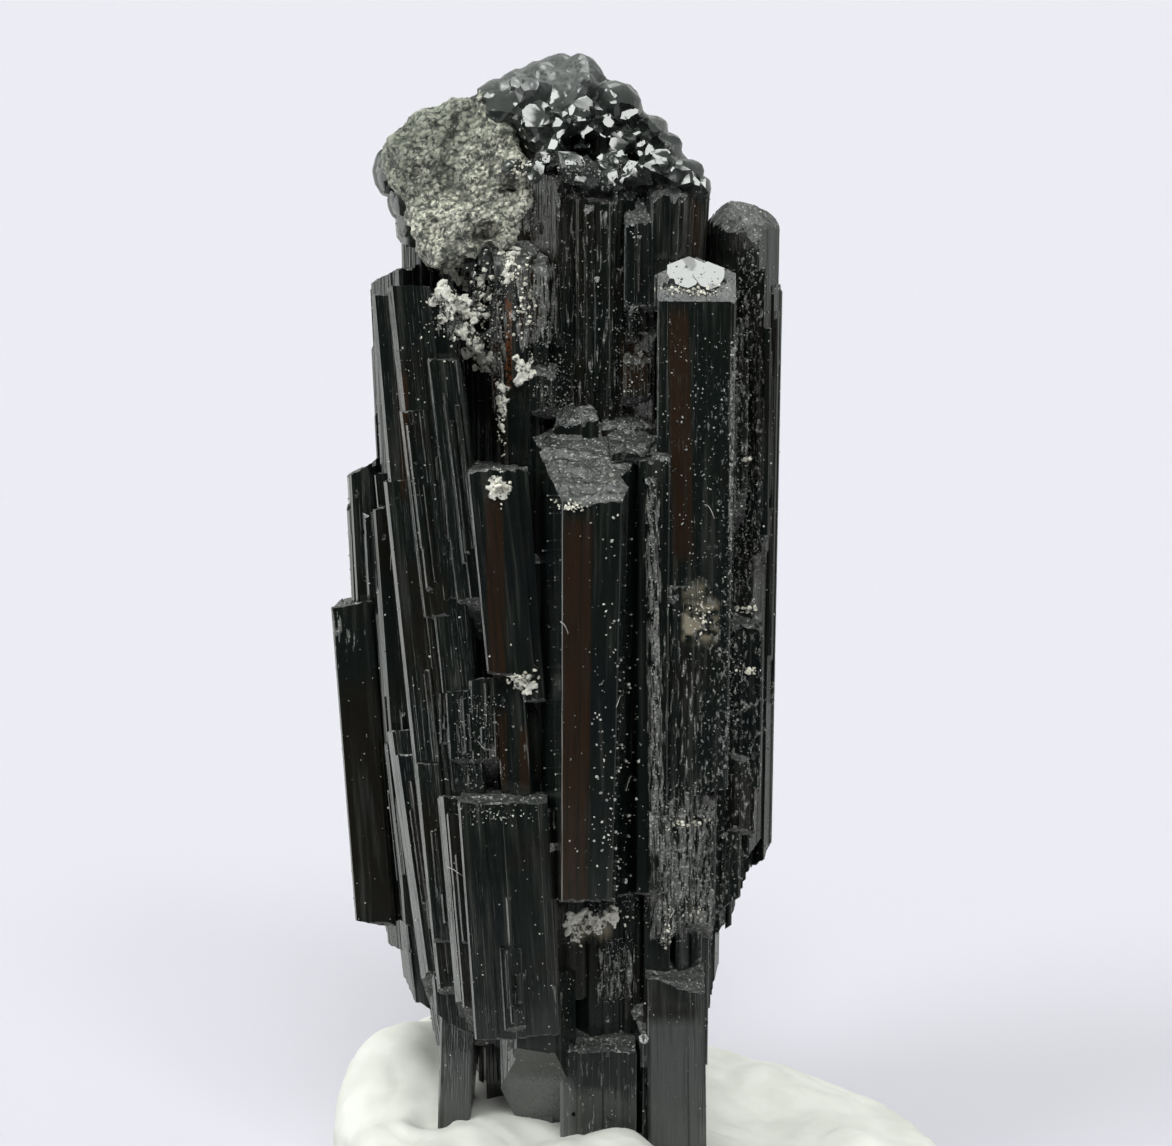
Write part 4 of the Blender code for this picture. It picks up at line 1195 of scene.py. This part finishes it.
def ledge_grains(prism, grains, chance):
    """Drops grains on to a prism's upper end."""
    for _ in range(round(LEDGE_GRAINS * min(9, prism.width * prism.depth))):
        x = prism.x + prism.lean * (prism.high - prism.low) / 2 + prism.width * chance.uniform(-0.5, 0.5)
        y = prism.face + prism.depth * chance.random() ** 1.7
        point, normal, _, _ = crystal_tree.ray_cast(Vector((x, y, prism.high + 1.5)), Vector((0, 0, -1)))
        if point is not None and abs(point.z - prism.high) < 1.2 and normal.z > 0.4:
            size = chance.uniform(0.018, 0.06) * chance.choice((0.6, 0.8, 1, 1.3))
            grains.append((point, size))


grains = []
for prism in PRISMS:
    if prism.tip != "dome" and prism.name != "front_column":
        ledge_grains(prism, grains, chance)
ledge_grit = heap_of("ledge_grit", grains, chance)
print("ledge grit faces:", len(ledge_grit.data.polygons))

# %% [markdown]
# ## Dust
#
# At this size every speck of dust shows. The specks are single small icospheres, a few dozen faces at most,
# dropped on to the crystal from all round, with more on the front column's right-hand face. There are a few
# fibres as well, each a short bent tube.

# %% Settle dust on the crystal
DUST_ALL_ROUND, DUST_ON_COLUMN = 2600, 170
DUST_SIZES = (0.008, 0.026)
FIBRE_RADIUS, FIBRE_LIFT, FIBRE_STEPS = 0.012, 0.02, 7  # mm, and short lengths to a fibre
# Each fibre: x, z and how far it runs in x and z, and how much it bows.
FIBRES = (
    (-6.99, 14.9, 0.58, -0.2, 0.12),
    (-0.63, 17.6, 0.3, 0.35, 0.25),
    (-5.86, 19.6, 0.49, -0.3, -0.1),
    (-9.0, 25.2, 0.1, 1.3, 0.15),
    (-1.0, 21.3, 0.25, 0.2, 0.2),
    (2.4, 27.6, -0.35, 0.5, 0.15),
    (-2.9, 24.4, 0.25, -0.4, 0.1),
)


def fibre(shape, x, z, run_x, run_z, bow):
    """A hair: a small ring extruded from point to point along a bow on the surface."""
    path = []
    for number in range(FIBRE_STEPS + 1):
        share = number / FIBRE_STEPS
        bend = bow * sin(pi * share)
        point, normal = surface_from(FRONT, z + run_z * share + bend, x - AXIS.x + run_x * share)
        if point is not None:
            path.append(point + normal * FIBRE_LIFT)
    ring = bmesh.ops.create_circle(shape, cap_ends=True, segments=5, radius=FIBRE_RADIUS)["verts"]
    first = (path[1] - path[0]).to_track_quat("Z", "Y").to_matrix().to_4x4()
    bmesh.ops.transform(shape, matrix=Matrix.Translation(path[0]) @ first, verts=ring)
    end = [face for face in shape.faces if all(corner in ring for corner in face.verts)]
    for before, after in zip(path, path[1:]):
        made = bmesh.ops.extrude_face_region(shape, geom=end, use_keep_orig=before is path[0])["geom"]
        moving = only(bmesh.types.BMVert, made)
        end = only(bmesh.types.BMFace, made)
        bmesh.ops.translate(shape, vec=after - before, verts=moving)


grains = []
chance = Random("dust")
for _ in range(DUST_ALL_ROUND):
    size = chance.uniform(*DUST_SIZES) * chance.choice((0.7, 1, 1, 2))
    settle(grains, chance.uniform(0, 360), chance.uniform(5, 42), chance.uniform(-8, 8), size)
for _ in range(DUST_ON_COLUMN):
    size = chance.triangular(0.015, 0.085, 0.02)
    settle(grains, FRONT, chance.triangular(12.5, 29, 17), chance.triangular(0.9, 3.0, 1.9), size)
dust = heap_of("dust_specks", grains, chance)
print("dust faces:", len(dust.data.polygons))

shape = bmesh.new()
for row in FIBRES:
    fibre(shape, *row)
bmesh.ops.recalc_face_normals(shape, faces=shape.faces)
fibres = object_of("fibres", shape)
print("fibre faces:", len(fibres.data.polygons))

# %% [markdown]
# ## Materials
#
# All the materials are procedural and read Object coordinates, which are in metres here, so the first step
# in each is to scale them to millimetres.

# %% Helpers for node trees
def add(kind, inputs=(), **settings):
    """Adds a node to `tree`, the one being built.

    Each input is a pair: a socket's name or number, and a value or another node's output.
    """
    made = tree.nodes.new(kind)
    for name, value in settings.items():
        setattr(made, name, value)
    for key, value in inputs:
        socket = made.inputs[key]
        if isinstance(value, bpy.types.NodeSocket):
            tree.links.new(value, socket)
        else:
            socket.default_value = value
    return made


def maths(operation, *values):
    return add("ShaderNodeMath", list(enumerate(values)), operation=operation).outputs[0]


def times(first, second):
    return maths("MULTIPLY", first, second)


def larger(first, second):
    return maths("MAXIMUM", first, second)


def remap(value, low, high, to_low=0.0, to_high=1.0, smooth=True):
    kind = "SMOOTHSTEP" if smooth else "LINEAR"
    ends = [("From Min", low), ("From Max", high), ("To Min", to_low), ("To Max", to_high)]
    return add("ShaderNodeMapRange", [("Value", value), *ends], interpolation_type=kind).outputs["Result"]


def mix_numbers(share, first, second):
    return add("ShaderNodeMix", [(0, share), (2, first), (3, second)], data_type="FLOAT").outputs[0]


def blend_colour(share, first, second):
    """Mixes two colours; each may be a value or a socket."""
    return add("ShaderNodeMix", [(0, share), (6, first), (7, second)], data_type="RGBA").outputs[2]


def new_material(name):
    """Starts a material. Sets the tree being built, its Principled shader, and a place in mm."""
    global tree, shader, place
    material = bpy.data.materials.new(name)
    material.use_nodes = True
    tree = material.node_tree
    shader = tree.nodes["Principled BSDF"]
    place = add("ShaderNodeTexCoord").outputs["Object"]
    place = add("ShaderNodeVectorMath", [(0, place), ("Scale", 1 / MM)], operation="SCALE").outputs[0]
    return material


def feed(**sockets):
    """Links values to the shader's sockets, such as base_color."""
    for name, value in sockets.items():
        tree.links.new(value, shader.inputs[name.replace("_", " ").title()])


def grain_noise(scale, detail, *roughness):
    """Noise from 0 to 1 at the place, with its roughness where one is given."""
    inputs = [("Vector", place), ("Scale", scale), ("Detail", detail), *[("Roughness", r) for r in roughness]]
    return add("ShaderNodeTexNoise", inputs).outputs[0]


def cell_tones(scale):
    """Three numbers from 0 to 1 that are the same all over a small cell, and the distance to its middle."""
    cells = add("ShaderNodeTexVoronoi", [("Vector", place), ("Scale", scale)]).outputs
    return add("ShaderNodeSeparateColor", [(0, cells["Color"])]).outputs, cells["Distance"]


def bump(strength, distance, height):
    inputs = [("Strength", strength), ("Distance", distance), ("Height", height)]
    feed(normal=add("ShaderNodeBump", inputs).outputs[0])


def wear(finish, *pieces):
    """Gives pieces the finish as their only material."""
    for piece in pieces:
        piece.data.materials.clear()
        piece.data.materials.append(finish)


def new_group(name, inputs, outputs):
    """An empty shader node group with the sockets asked for. Returns it and its two end nodes."""
    group = bpy.data.node_groups.new(name, "ShaderNodeTree")
    for socket, kind in inputs:
        group.interface.new_socket(socket, in_out="INPUT", socket_type=kind)
    for socket, kind in outputs:
        group.interface.new_socket(socket, in_out="OUTPUT", socket_type=kind)
    return group, group.nodes.new("NodeGroupInput"), group.nodes.new("NodeGroupOutput")


def place_group(group, **inputs):
    sockets = [(name.replace("_", " ").capitalize(), value) for name, value in inputs.items()]
    return add("ShaderNodeGroup", sockets, node_tree=group)


# %% [markdown]
# ### Upright bands
#
# Thin places in the prisms let brown light through, and other places are etched dull. Both follow the
# growth direction, so they are upright bands. One node group makes such a band's mask, and the material
# uses it once for each band, with its own place and size.

# %% The band group
FLOAT, VECTOR = "NodeSocketFloat", "NodeSocketVector"
band_inputs = [(name, FLOAT) for name in ("Centre", "Half width", "Low", "High", "Lean")]
band_inputs = [("Place", VECTOR), *band_inputs]
band_group, ends_in, ends_out = new_group("upright band", band_inputs, [("Mask", FLOAT)])
tree = band_group
given = ends_in.outputs
split = add("ShaderNodeSeparateXYZ", [(0, given["Place"])])
leant = maths("MULTIPLY_ADD", split.outputs["Z"], times(given["Lean"], -1.0), split.outputs["X"])
off_centre = maths("ABSOLUTE", maths("SUBTRACT", leant, given["Centre"]))
share = maths("DIVIDE", off_centre, given["Half width"])
across = remap(share, 0.7, 1.05, 1.0, 0.0)
above = maths("SUBTRACT", split.outputs["Z"], given["Low"])
below = maths("SUBTRACT", given["High"], split.outputs["Z"])
tall = times(remap(above, 0.0, 0.7), remap(below, 0.0, 0.7))
in_front = remap(split.outputs["Y"], -2.0, -1.0, 1.0, 0.0)
mask = times(times(across, tall), in_front)
band_group.links.new(mask, ends_out.inputs["Mask"])

# %% [markdown]
# ### Tourmaline
#
# The crystal is almost black glass. Its small light share is what the eye reads: brown bands, a trace of
# green or blue that differs from prism to prism, dull grey where the surface is etched or broken, and fine
# upright lines in the gloss. The lines lean with their prism, because the mesh carries each prism's lean.

# %% Where the bands are
BROWN_BANDS = (  # centre x at z = 0, half width, low, high, lean
    (-2.82, 0.33, 13.2, 28.4, 0.012),
    (-2.32, 0.2, 13.2, 28.4, 0.012),
    (-4.9, 0.34, 21.6, 28.9, -0.01),
    (2.22, 0.4, 25.8, 35.2, -0.033),
    (1.72, 0.2, 36.2, 39.2, 0.0),
    (-4.16, 0.3, 36.8, 38.0, 0.0),
    (-4.23, 0.2, 17.4, 20.4, 0.0),
    (-5.0, 0.2, 17.4, 21.0, 0.0),
    (-4.0, 0.35, 33.5, 36.6, 0.0),
    (-8.3, 0.2, 28.0, 33.0, 0.0),
    (-5.35, 0.4, 31.2, 35.5, 0.0),
    (-0.4, 0.5, 31.5, 34.0, 0.0),
)
# Painted glow: small amber spots where light shines through thin edges of the crystal.
AMBER_GLOW_BANDS = (
    (-4.7, 0.14, 31.6, 35.4, 0.0),
    (-5.3, 0.07, 32.0, 33.6, 0.0),
    (-4.09, 0.06, 36.6, 37.1, 0.0),
    (1.46, 0.07, 36.9, 37.5, 0.0),
    (1.64, 0.06, 20.8, 21.3, 0.0),
)
ETCHED_BANDS = (  # the same, and how strongly etched
    (0.8, 0.32, 16.0, 29.2, -0.02, 0.85),
    (3.05, 0.2, 26.2, 34.2, 0.0, 0.9),
    (3.65, 0.6, 22.0, 37.5, 0.0, 0.55),
    (1.4, 1.4, 11.3, 17.9, 0.0, 0.85),
    (-0.9, 0.85, 8.8, 11.8, 0.0, 0.7),
    (-3.7, 0.8, 33.0, 36.6, 0.0, 0.9),
    (-4.2, 0.35, 36.8, 39.6, 0.0, 0.9),
    (-6.3, 1.0, 33.6, 36.0, 0.0, 0.8),
    (-5.2, 0.5, 30.5, 35.4, 0.0, 0.8),
    (-1.6, 2.4, 37.2, 40.0, 0.0, 0.35),
    (-1.0, 1.6, 30.6, 35.0, 0.0, 0.4),
    (2.3, 0.8, 20.0, 33.0, 0.0, 0.3),
    (-5.4, 1.6, 17.0, 21.6, 0.0, 0.3),
    (-3.4, 0.5, 4.0, 8.0, 0.0, 0.4),
    (-2.2, 1.8, 30.5, 39.8, 0.0, 0.42),
    (1.9, 1.6, 11.0, 26.0, 0.0, 0.5),
    (3.6, 1.0, 12.0, 24.0, 0.0, 0.5),
    (-3.7, 1.2, 7.8, 11.8, 0.0, 0.3),
    (-1.2, 2.0, 3.4, 8.0, 0.0, 0.35),
)
# Painted sheen: the low faces by the foot are made lighter grey for the white putty that they mirror; their
# fine lines also make them duller.
SHEEN_AND_SATIN_BANDS = (  # where many fine lines make the faces dull
    (1.2, 1.1, 1.5, 9.2, 0.0, 0.85),
    (-3.75, 1.4, 3.3, 6.9, 0.0),
    (-8.1, 0.9, 5.6, 9.6, -0.1),
    (-6.6, 0.9, 3.0, 7.4, 0.0, 0.6),
    (-4.4, 2.0, 7.6, 10.2, -0.05, 0.12),
)
BEIGE_BANDS = (  # a pale, half clear mineral in the gaps
    (1.95, 0.7, 22.9, 24.9, 0.0),
    (1.7, 0.45, 24.5, 25.6, 0.0, 0.6),
    (-4.72, 0.22, 35.6, 37.6, 0.0),
    (-1.9, 0.9, 11.4, 12.6, 0.0, 0.7),
)
print("bands:", sum(map(len, (BROWN_BANDS, AMBER_GLOW_BANDS, ETCHED_BANDS, SHEEN_AND_SATIN_BANDS, BEIGE_BANDS))))

# %% The tourmaline material
BROWN_BLACK = (0.0084, 0.0076, 0.0056, 1)
GREEN_BLACK = (0.0054, 0.0084, 0.0068, 1)
BLUE_BLACK = (0.005, 0.007, 0.0074, 1)
BROWN = (0.022, 0.012, 0.0064, 1)
# the colour of the painted amber glow
AMBER_GLOW = (0.12, 0.042, 0.014, 1)
ETCHED = (0.13, 0.132, 0.122, 1)
BEIGE = (0.27, 0.24, 0.17, 1)
HAZE = (0.03, 0.031, 0.027, 1)
BROKEN = (0.042, 0.044, 0.042, 1)
# pale specks on the crystal, and the colour of the painted glints
SPECK_AND_GLINT = (0.55, 0.55, 0.5, 1)
CROWN_BASE = (0.022, 0.026, 0.023, 1)
# a duller grey that is also a painted sheen
SATIN_AND_PAINTED_SHEEN = (0.062, 0.067, 0.064, 1)

COLUMN_X = -2.0  # the front column and the blade beside it are smoother than the rest
tourmaline_finish = new_material("tourmaline")


def bands(rows):
    """One mask that is the largest of all the rows' bands, each times its strength."""
    total = None
    for centre, half_width, low, high, lean, *strength in rows:
        values = {"centre": centre, "half_width": half_width, "low": low, "high": high, "lean": lean}
        mask = place_group(band_group, place=place, **values).outputs["Mask"]
        if strength:
            mask = times(mask, strength[0])
        total = mask if total is None else larger(total, mask)
    return total


def face_value(name):
    return add("ShaderNodeAttribute", attribute_name=name).outputs["Fac"]


def texture(vector, scale, detail, stretch=None):
    """Noise from 0 to 1, stretched if asked."""
    if stretch:
        vector = add("ShaderNodeMapping", [("Vector", vector), ("Scale", stretch)]).outputs[0]
    return add("ShaderNodeTexNoise", [("Vector", vector), ("Scale", scale), ("Detail", detail)]).outputs[0]


broken, tint, glassy = face_value("rough"), face_value("tint"), face_value("glassy")
plain = maths("SUBTRACT", 1.0, glassy)
parts = add("ShaderNodeSeparateXYZ", [(0, place)]).outputs
upright_x = maths("SUBTRACT", parts["X"], times(face_value("lean"), parts["Z"]))
upright = add("ShaderNodeCombineXYZ", [(0, upright_x), (1, parts["Y"]), (2, parts["Z"])]).outputs[0]
lines = texture(upright, 1.6, 5, (6, 6, 0.12))
fine_lines = texture(upright, 1.0, 4, (15, 15, 0.5))
long_streaks, short_streaks = texture(upright, 1.0, 6, (9, 9, 1.3)), texture(upright, 1.0, 6, (8, 8, 3.6))
patches = texture(place, 0.28, 3)
speckle = texture(place, 7.0, 4)

etched_zone = bands(ETCHED_BANDS)
anywhere = times(remap(patches, 0.52, 0.68), remap(parts["Y"], -4.5, -1.0, 0.1, 0.7))
satin_and_sheen = times(bands(SHEEN_AND_SATIN_BANDS), remap(lines, 0.2, 0.6, 0.5, 1.0))
below_crown = larger(plain, remap(parts["Z"], 36.5, 37.5, 1.0, 0.0))
etched_zone = times(larger(etched_zone, anywhere), below_crown)
limit = remap(etched_zone, 0.0, 1.0, 0.72, 0.38, smooth=False)
granular = remap(parts["X"], 1.6, 2.6)
streaks = mix_numbers(granular, long_streaks, short_streaks)
etched = maths("SUBTRACT", streaks, limit)
etched = times(remap(etched, 0.0, 0.12), remap(etched_zone, 0.02, 0.2))
chosen, off_middle = cell_tones(4.2)
few = remap(chosen[0], 0.84, 0.86)
specks = times(remap(off_middle, 0.03, 0.1, 1.0, 0.0), few)

tint_shift = maths("ADD", times(tint, 0.5), maths("MULTIPLY_ADD", patches, 2, -0.75))
colour = blend_colour(remap(tint_shift, 0.15, 0.45), BROWN_BLACK, GREEN_BLACK)
colour = blend_colour(remap(tint_shift, 0.6, 0.9), colour, BLUE_BLACK)
hazy = remap(texture(upright, 1.0, 5, (4.5, 4.5, 0.22)), 0.48, 0.74)
colour = blend_colour(times(hazy, plain), colour, HAZE)
brown = times(bands(BROWN_BANDS), remap(lines, 0.3, 0.55, 0.35, 1.0))
colour = blend_colour(brown, colour, BROWN)
# Painted glow of light through thin edges, in small amber spots.
colour = blend_colour(times(bands(AMBER_GLOW_BANDS), remap(speckle, 0.4, 0.6)), colour, AMBER_GLOW)
# Painted sheen: the putty mirrored in the low faces, with their dull fine lines.
colour = blend_colour(satin_and_sheen, colour, SATIN_AND_PAINTED_SHEEN)
beige = times(bands(BEIGE_BANDS), remap(texture(place, 1.6, 5), 0.42, 0.56))
colour = blend_colour(beige, colour, BEIGE)
colour = blend_colour(etched, colour, ETCHED)
# Painted glints: pale cells on the etched and broken places stand in for their sparkle.
painted_glints = times(remap(cell_tones(15.0)[0][0], 0.74, 0.95), larger(etched, broken))
colour = blend_colour(times(painted_glints, 0.7), colour, SPECK_AND_GLINT)
colour = blend_colour(times(broken, remap(speckle, 0.4, 0.6, 0.25, 1.0)), colour, BROKEN)
colour = blend_colour(glassy, colour, CROWN_BASE)
# Painted sheen: the crown's top is made lighter grey, as where light from above falls on it; it is also
# rougher.
crown_top_sheen = times(glassy, remap(parts["Z"], 41.6, 42.3))
crown_top_sheen = times(crown_top_sheen, remap(speckle, 0.3, 0.6, 0.3, 1.0))
colour = blend_colour(crown_top_sheen, colour, SATIN_AND_PAINTED_SHEEN)
colour = blend_colour(specks, colour, SPECK_AND_GLINT)
feed(base_color=colour)
gloss = remap(fine_lines, 0.35, 0.7, 0.05, 0.13)
# How rough each duller place is.
for dull, roughness in (
    (etched, 0.42), (broken, 0.4), (satin_and_sheen, 0.36), (beige, 0.3), (specks, 0.6), (crown_top_sheen, 0.33)
):
    gloss = larger(gloss, times(dull, roughness))
crown_dull = times(glassy, remap(texture(place, 1.1, 3), 0.5, 0.6, 0.0, 0.28))
gloss = larger(gloss, crown_dull)
feed(roughness=gloss)
off_column = maths("ABSOLUTE", maths("SUBTRACT", parts["X"], COLUMN_X))
beside_column = times(remap(off_column, 2.4, 3.6, 0.3, 1.6), remap(off_column, 6.0, 7.6, 1.0, 0.3))
grooved_zone = larger(beside_column, remap(parts["Z"], 30.0, 31.0, 0.0, 1.6))
grooved = times(fine_lines, times(grooved_zone, remap(patches, 0.35, 0.5, 0.6, 1.0)))
height = maths("ADD", grooved, lines)
height = maths("MULTIPLY_ADD", larger(etched, broken), times(speckle, 1.6), height)
height = times(height, plain)
bump(0.8, 0.00003, height)
shader.inputs["IOR"].default_value = 1.63
wear(tourmaline_finish, tourmaline)

# %% The grit material
grit_finish = new_material("grit")
tone, _ = cell_tones(11.0)
colour = blend_colour(remap(tone[0], 0.25, 1.0), (0.03, 0.032, 0.031, 1), (0.42, 0.43, 0.4, 1))
feed(base_color=colour)
feed(roughness=remap(tone[1], 0.0, 1.0, 0.12, 0.6))
wear(grit_finish, grit, ledge_grit)

# %% [markdown]
# ### Mica, crumbs, putty and dust

# %% The mica material
CREAM = (0.78, 0.76, 0.64, 1)
SAGE = (0.3, 0.315, 0.25, 1)
DARK_SAGE = (0.028, 0.033, 0.027, 1)
MICA_DARK_END, MICA_PALE_END = Vector((-8.5, 0, 40.5)), Vector((-4.6, 0, 36.2))
mica_finish = new_material("mica")
depth = add("ShaderNodeAttribute", attribute_name="grain_depth").outputs["Fac"]
tone = cell_tones(9.0)[0][0]
fine = grain_noise(4.0, 6, 0.7)
broad = grain_noise(0.5, 2)
run = (MICA_PALE_END - MICA_DARK_END).normalized()
along = add("ShaderNodeVectorMath", [(0, place), (1, run)], operation="DOT_PRODUCT").outputs["Value"]
pale = remap(along, MICA_DARK_END.dot(run), MICA_PALE_END.dot(run), -0.3, 1.25, smooth=False)
pale = maths("ADD", pale, maths("MULTIPLY_ADD", broad, 1.6, -0.8))
pale = maths("ADD", pale, maths("MULTIPLY_ADD", tone, 1.3, -0.65))
colour = blend_colour(remap(pale, 0.1, 1.2), SAGE, CREAM)
colour = blend_colour(remap(fine, 0.42, 0.5, 0.9, 0.0), colour, DARK_SAGE)
# Painted shade in the gaps between the grains and in the hollows.
colour = blend_colour(remap(depth, 0.0, 0.35, 0.8, 0.0), colour, DARK_SAGE)
feed(base_color=colour)
feed(roughness=remap(tone, 0.0, 1.0, 0.3, 0.7))
relief = maths("MULTIPLY_ADD", tone, 0.4, times(fine, 1.6))
bump(0.8, 0.0001, relief)
wear(mica_finish, mica)

# %% The crumbs, the putty and the dust
def mottled(name, scale, detail, low, high, first, second):
    """Starts a material whose colour wanders between two with noise. Returns the material and the noise."""
    finish = new_material(name)
    fine = grain_noise(scale, *detail)
    feed(base_color=blend_colour(remap(fine, low, high), (*first, 1), (*second, 1)))
    return finish, fine


for name, scale, detail, low, high, first, second, roughness, pieces in (
    ("pale_mineral", 3.0, 5, 0.4, 0.65, (0.86, 0.83, 0.72), (0.36, 0.34, 0.28), 0.5, [crumbs]),
    ("putty", 0.6, 5, 0.35, 0.7, (0.64, 0.64, 0.6), (0.56, 0.56, 0.52), 0.55, [putty]),
    ("dust", 1.2, 1, 0.35, 0.65, (0.55, 0.54, 0.5), (0.2, 0.2, 0.19), 0.7, [dust, fibres]),
):
    finish, _ = mottled(name, scale, [detail], low, high, first, second)
    shader.inputs["Roughness"].default_value = roughness
    wear(finish, *pieces)

# %% The sugary mineral's material
finish, fine = mottled("sugary_mineral", 3.2, (6, 0.7), 0.4, 0.5, (0.06, 0.06, 0.052), (0.7, 0.69, 0.61))
feed(roughness=remap(fine, 0.3, 0.7, 0.12, 0.5))
bump(0.8, 0.0001, fine)
wear(finish, sugar)

# %% [markdown]
# ## Light and floor
#
# A glossy black thing shows mostly what it mirrors. The room is bright at the sides, behind and above, and
# dark where the viewer stands, so the faces that look forwards stay black and the edges glint.

# %% The floor
FLOOR_RADIUS_MM = 1500
FLOOR_COLOUR = (0.513, 0.5, 0.549, 1)
shape = bmesh.new()
bmesh.ops.create_circle(shape, cap_ends=True, segments=96, radius=FLOOR_RADIUS_MM)
bmesh.ops.translate(shape, vec=(0, 0, -0.05), verts=shape.verts)
floor = object_of("floor", shape)
floor_finish = new_material("floor")
shader.inputs["Base Color"].default_value = FLOOR_COLOUR
shader.inputs["Roughness"].default_value = 0.9
shader.inputs["Specular IOR Level"].default_value = 0.1
wear(floor_finish, floor)
floor.visible_glossy = False

# %% The room's light
LIGHT_COLOUR = (0.965, 0.995, 0.97, 1)
BACKDROP = (0.83, 0.845, 0.895, 1)  # what the camera sees behind the floor, which matches the floor
LEFT_SIDE, RIGHT_SIDE, VIEWER_DARK, LOW_MORE = 0.8, 0.5, 0.03, 0.65
# Each window: the way to it, its half angle and the width of its soft edge in degrees, and its strength.
WINDOWS = (
    (Vector((-1, -0.05, -0.2)), 26, 14, 2.3),
    (Vector((0, 0.2, 1)), 9, 3, 6.5),
    (Vector((0.05, -0.65, 1)), 9, 3, 11.0),
    (Vector((-0.75, -0.35, 1.0)), 8, 3, 12.0),
    (Vector((0.5, -0.7, 1.1)), 6, 2, 11.0),
    (Vector((0.1, 0.6, 1)), 10, 5, 3.0),
    (Vector((1, 0.2, 0.1)), 14, 8, 0.5),
)
world = bpy.data.worlds.new("studio")
bpy.context.scene.world = world
world.use_nodes = True
tree = world.node_tree
background = tree.nodes["Background"]
direction = add("ShaderNodeTexCoord").outputs["Generated"]
parts = add("ShaderNodeSeparateXYZ", [(0, direction)]).outputs
viewer_side = remap(parts["Y"], -0.1, -0.5, 0.0, 1.0)
low_down = remap(parts["Z"], -0.36, -0.55, 0.0, 1.0)
overhead = remap(parts["Z"], 0.2, 0.7, 0.0, 1.0)
viewer_side = times(viewer_side, maths("SUBTRACT", 1.0, overhead))
around = remap(parts["X"], -0.6, 0.8, LEFT_SIDE, RIGHT_SIDE)
dark = maths("MULTIPLY_ADD", low_down, LOW_MORE, VIEWER_DARK)
room = mix_numbers(viewer_side, around, dark)
for way, half_angle, edge, power in WINDOWS:
    facing = add("ShaderNodeVectorMath", [(0, direction), (1, way.normalized())], operation="DOT_PRODUCT")
    outer, inner = cos(radians(half_angle + edge)), cos(radians(half_angle))
    pane = remap(facing.outputs["Value"], outer, inner, 0.0, power)
    room = maths("ADD", room, pane)
seen = add("ShaderNodeLightPath").outputs["Is Camera Ray"]
strength = mix_numbers(seen, room, 1.0)
tree.links.new(blend_colour(seen, LIGHT_COLOUR, BACKDROP), background.inputs["Color"])
tree.links.new(strength, background.inputs["Strength"])
print("windows:", len(WINDOWS))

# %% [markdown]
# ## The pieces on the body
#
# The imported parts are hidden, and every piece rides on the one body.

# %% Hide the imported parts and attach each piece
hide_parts("tourmaline_cluster")
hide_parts("mica_crust")
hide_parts("putty_foot")
for slot, pieces in (
    ("tourmaline", (tourmaline, grit, ledge_grit)),
    ("mica", (mica, crumbs, sugar, dust, fibres)),
    ("putty", (putty,)),
):
    for piece in pieces:
        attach(piece, "root")
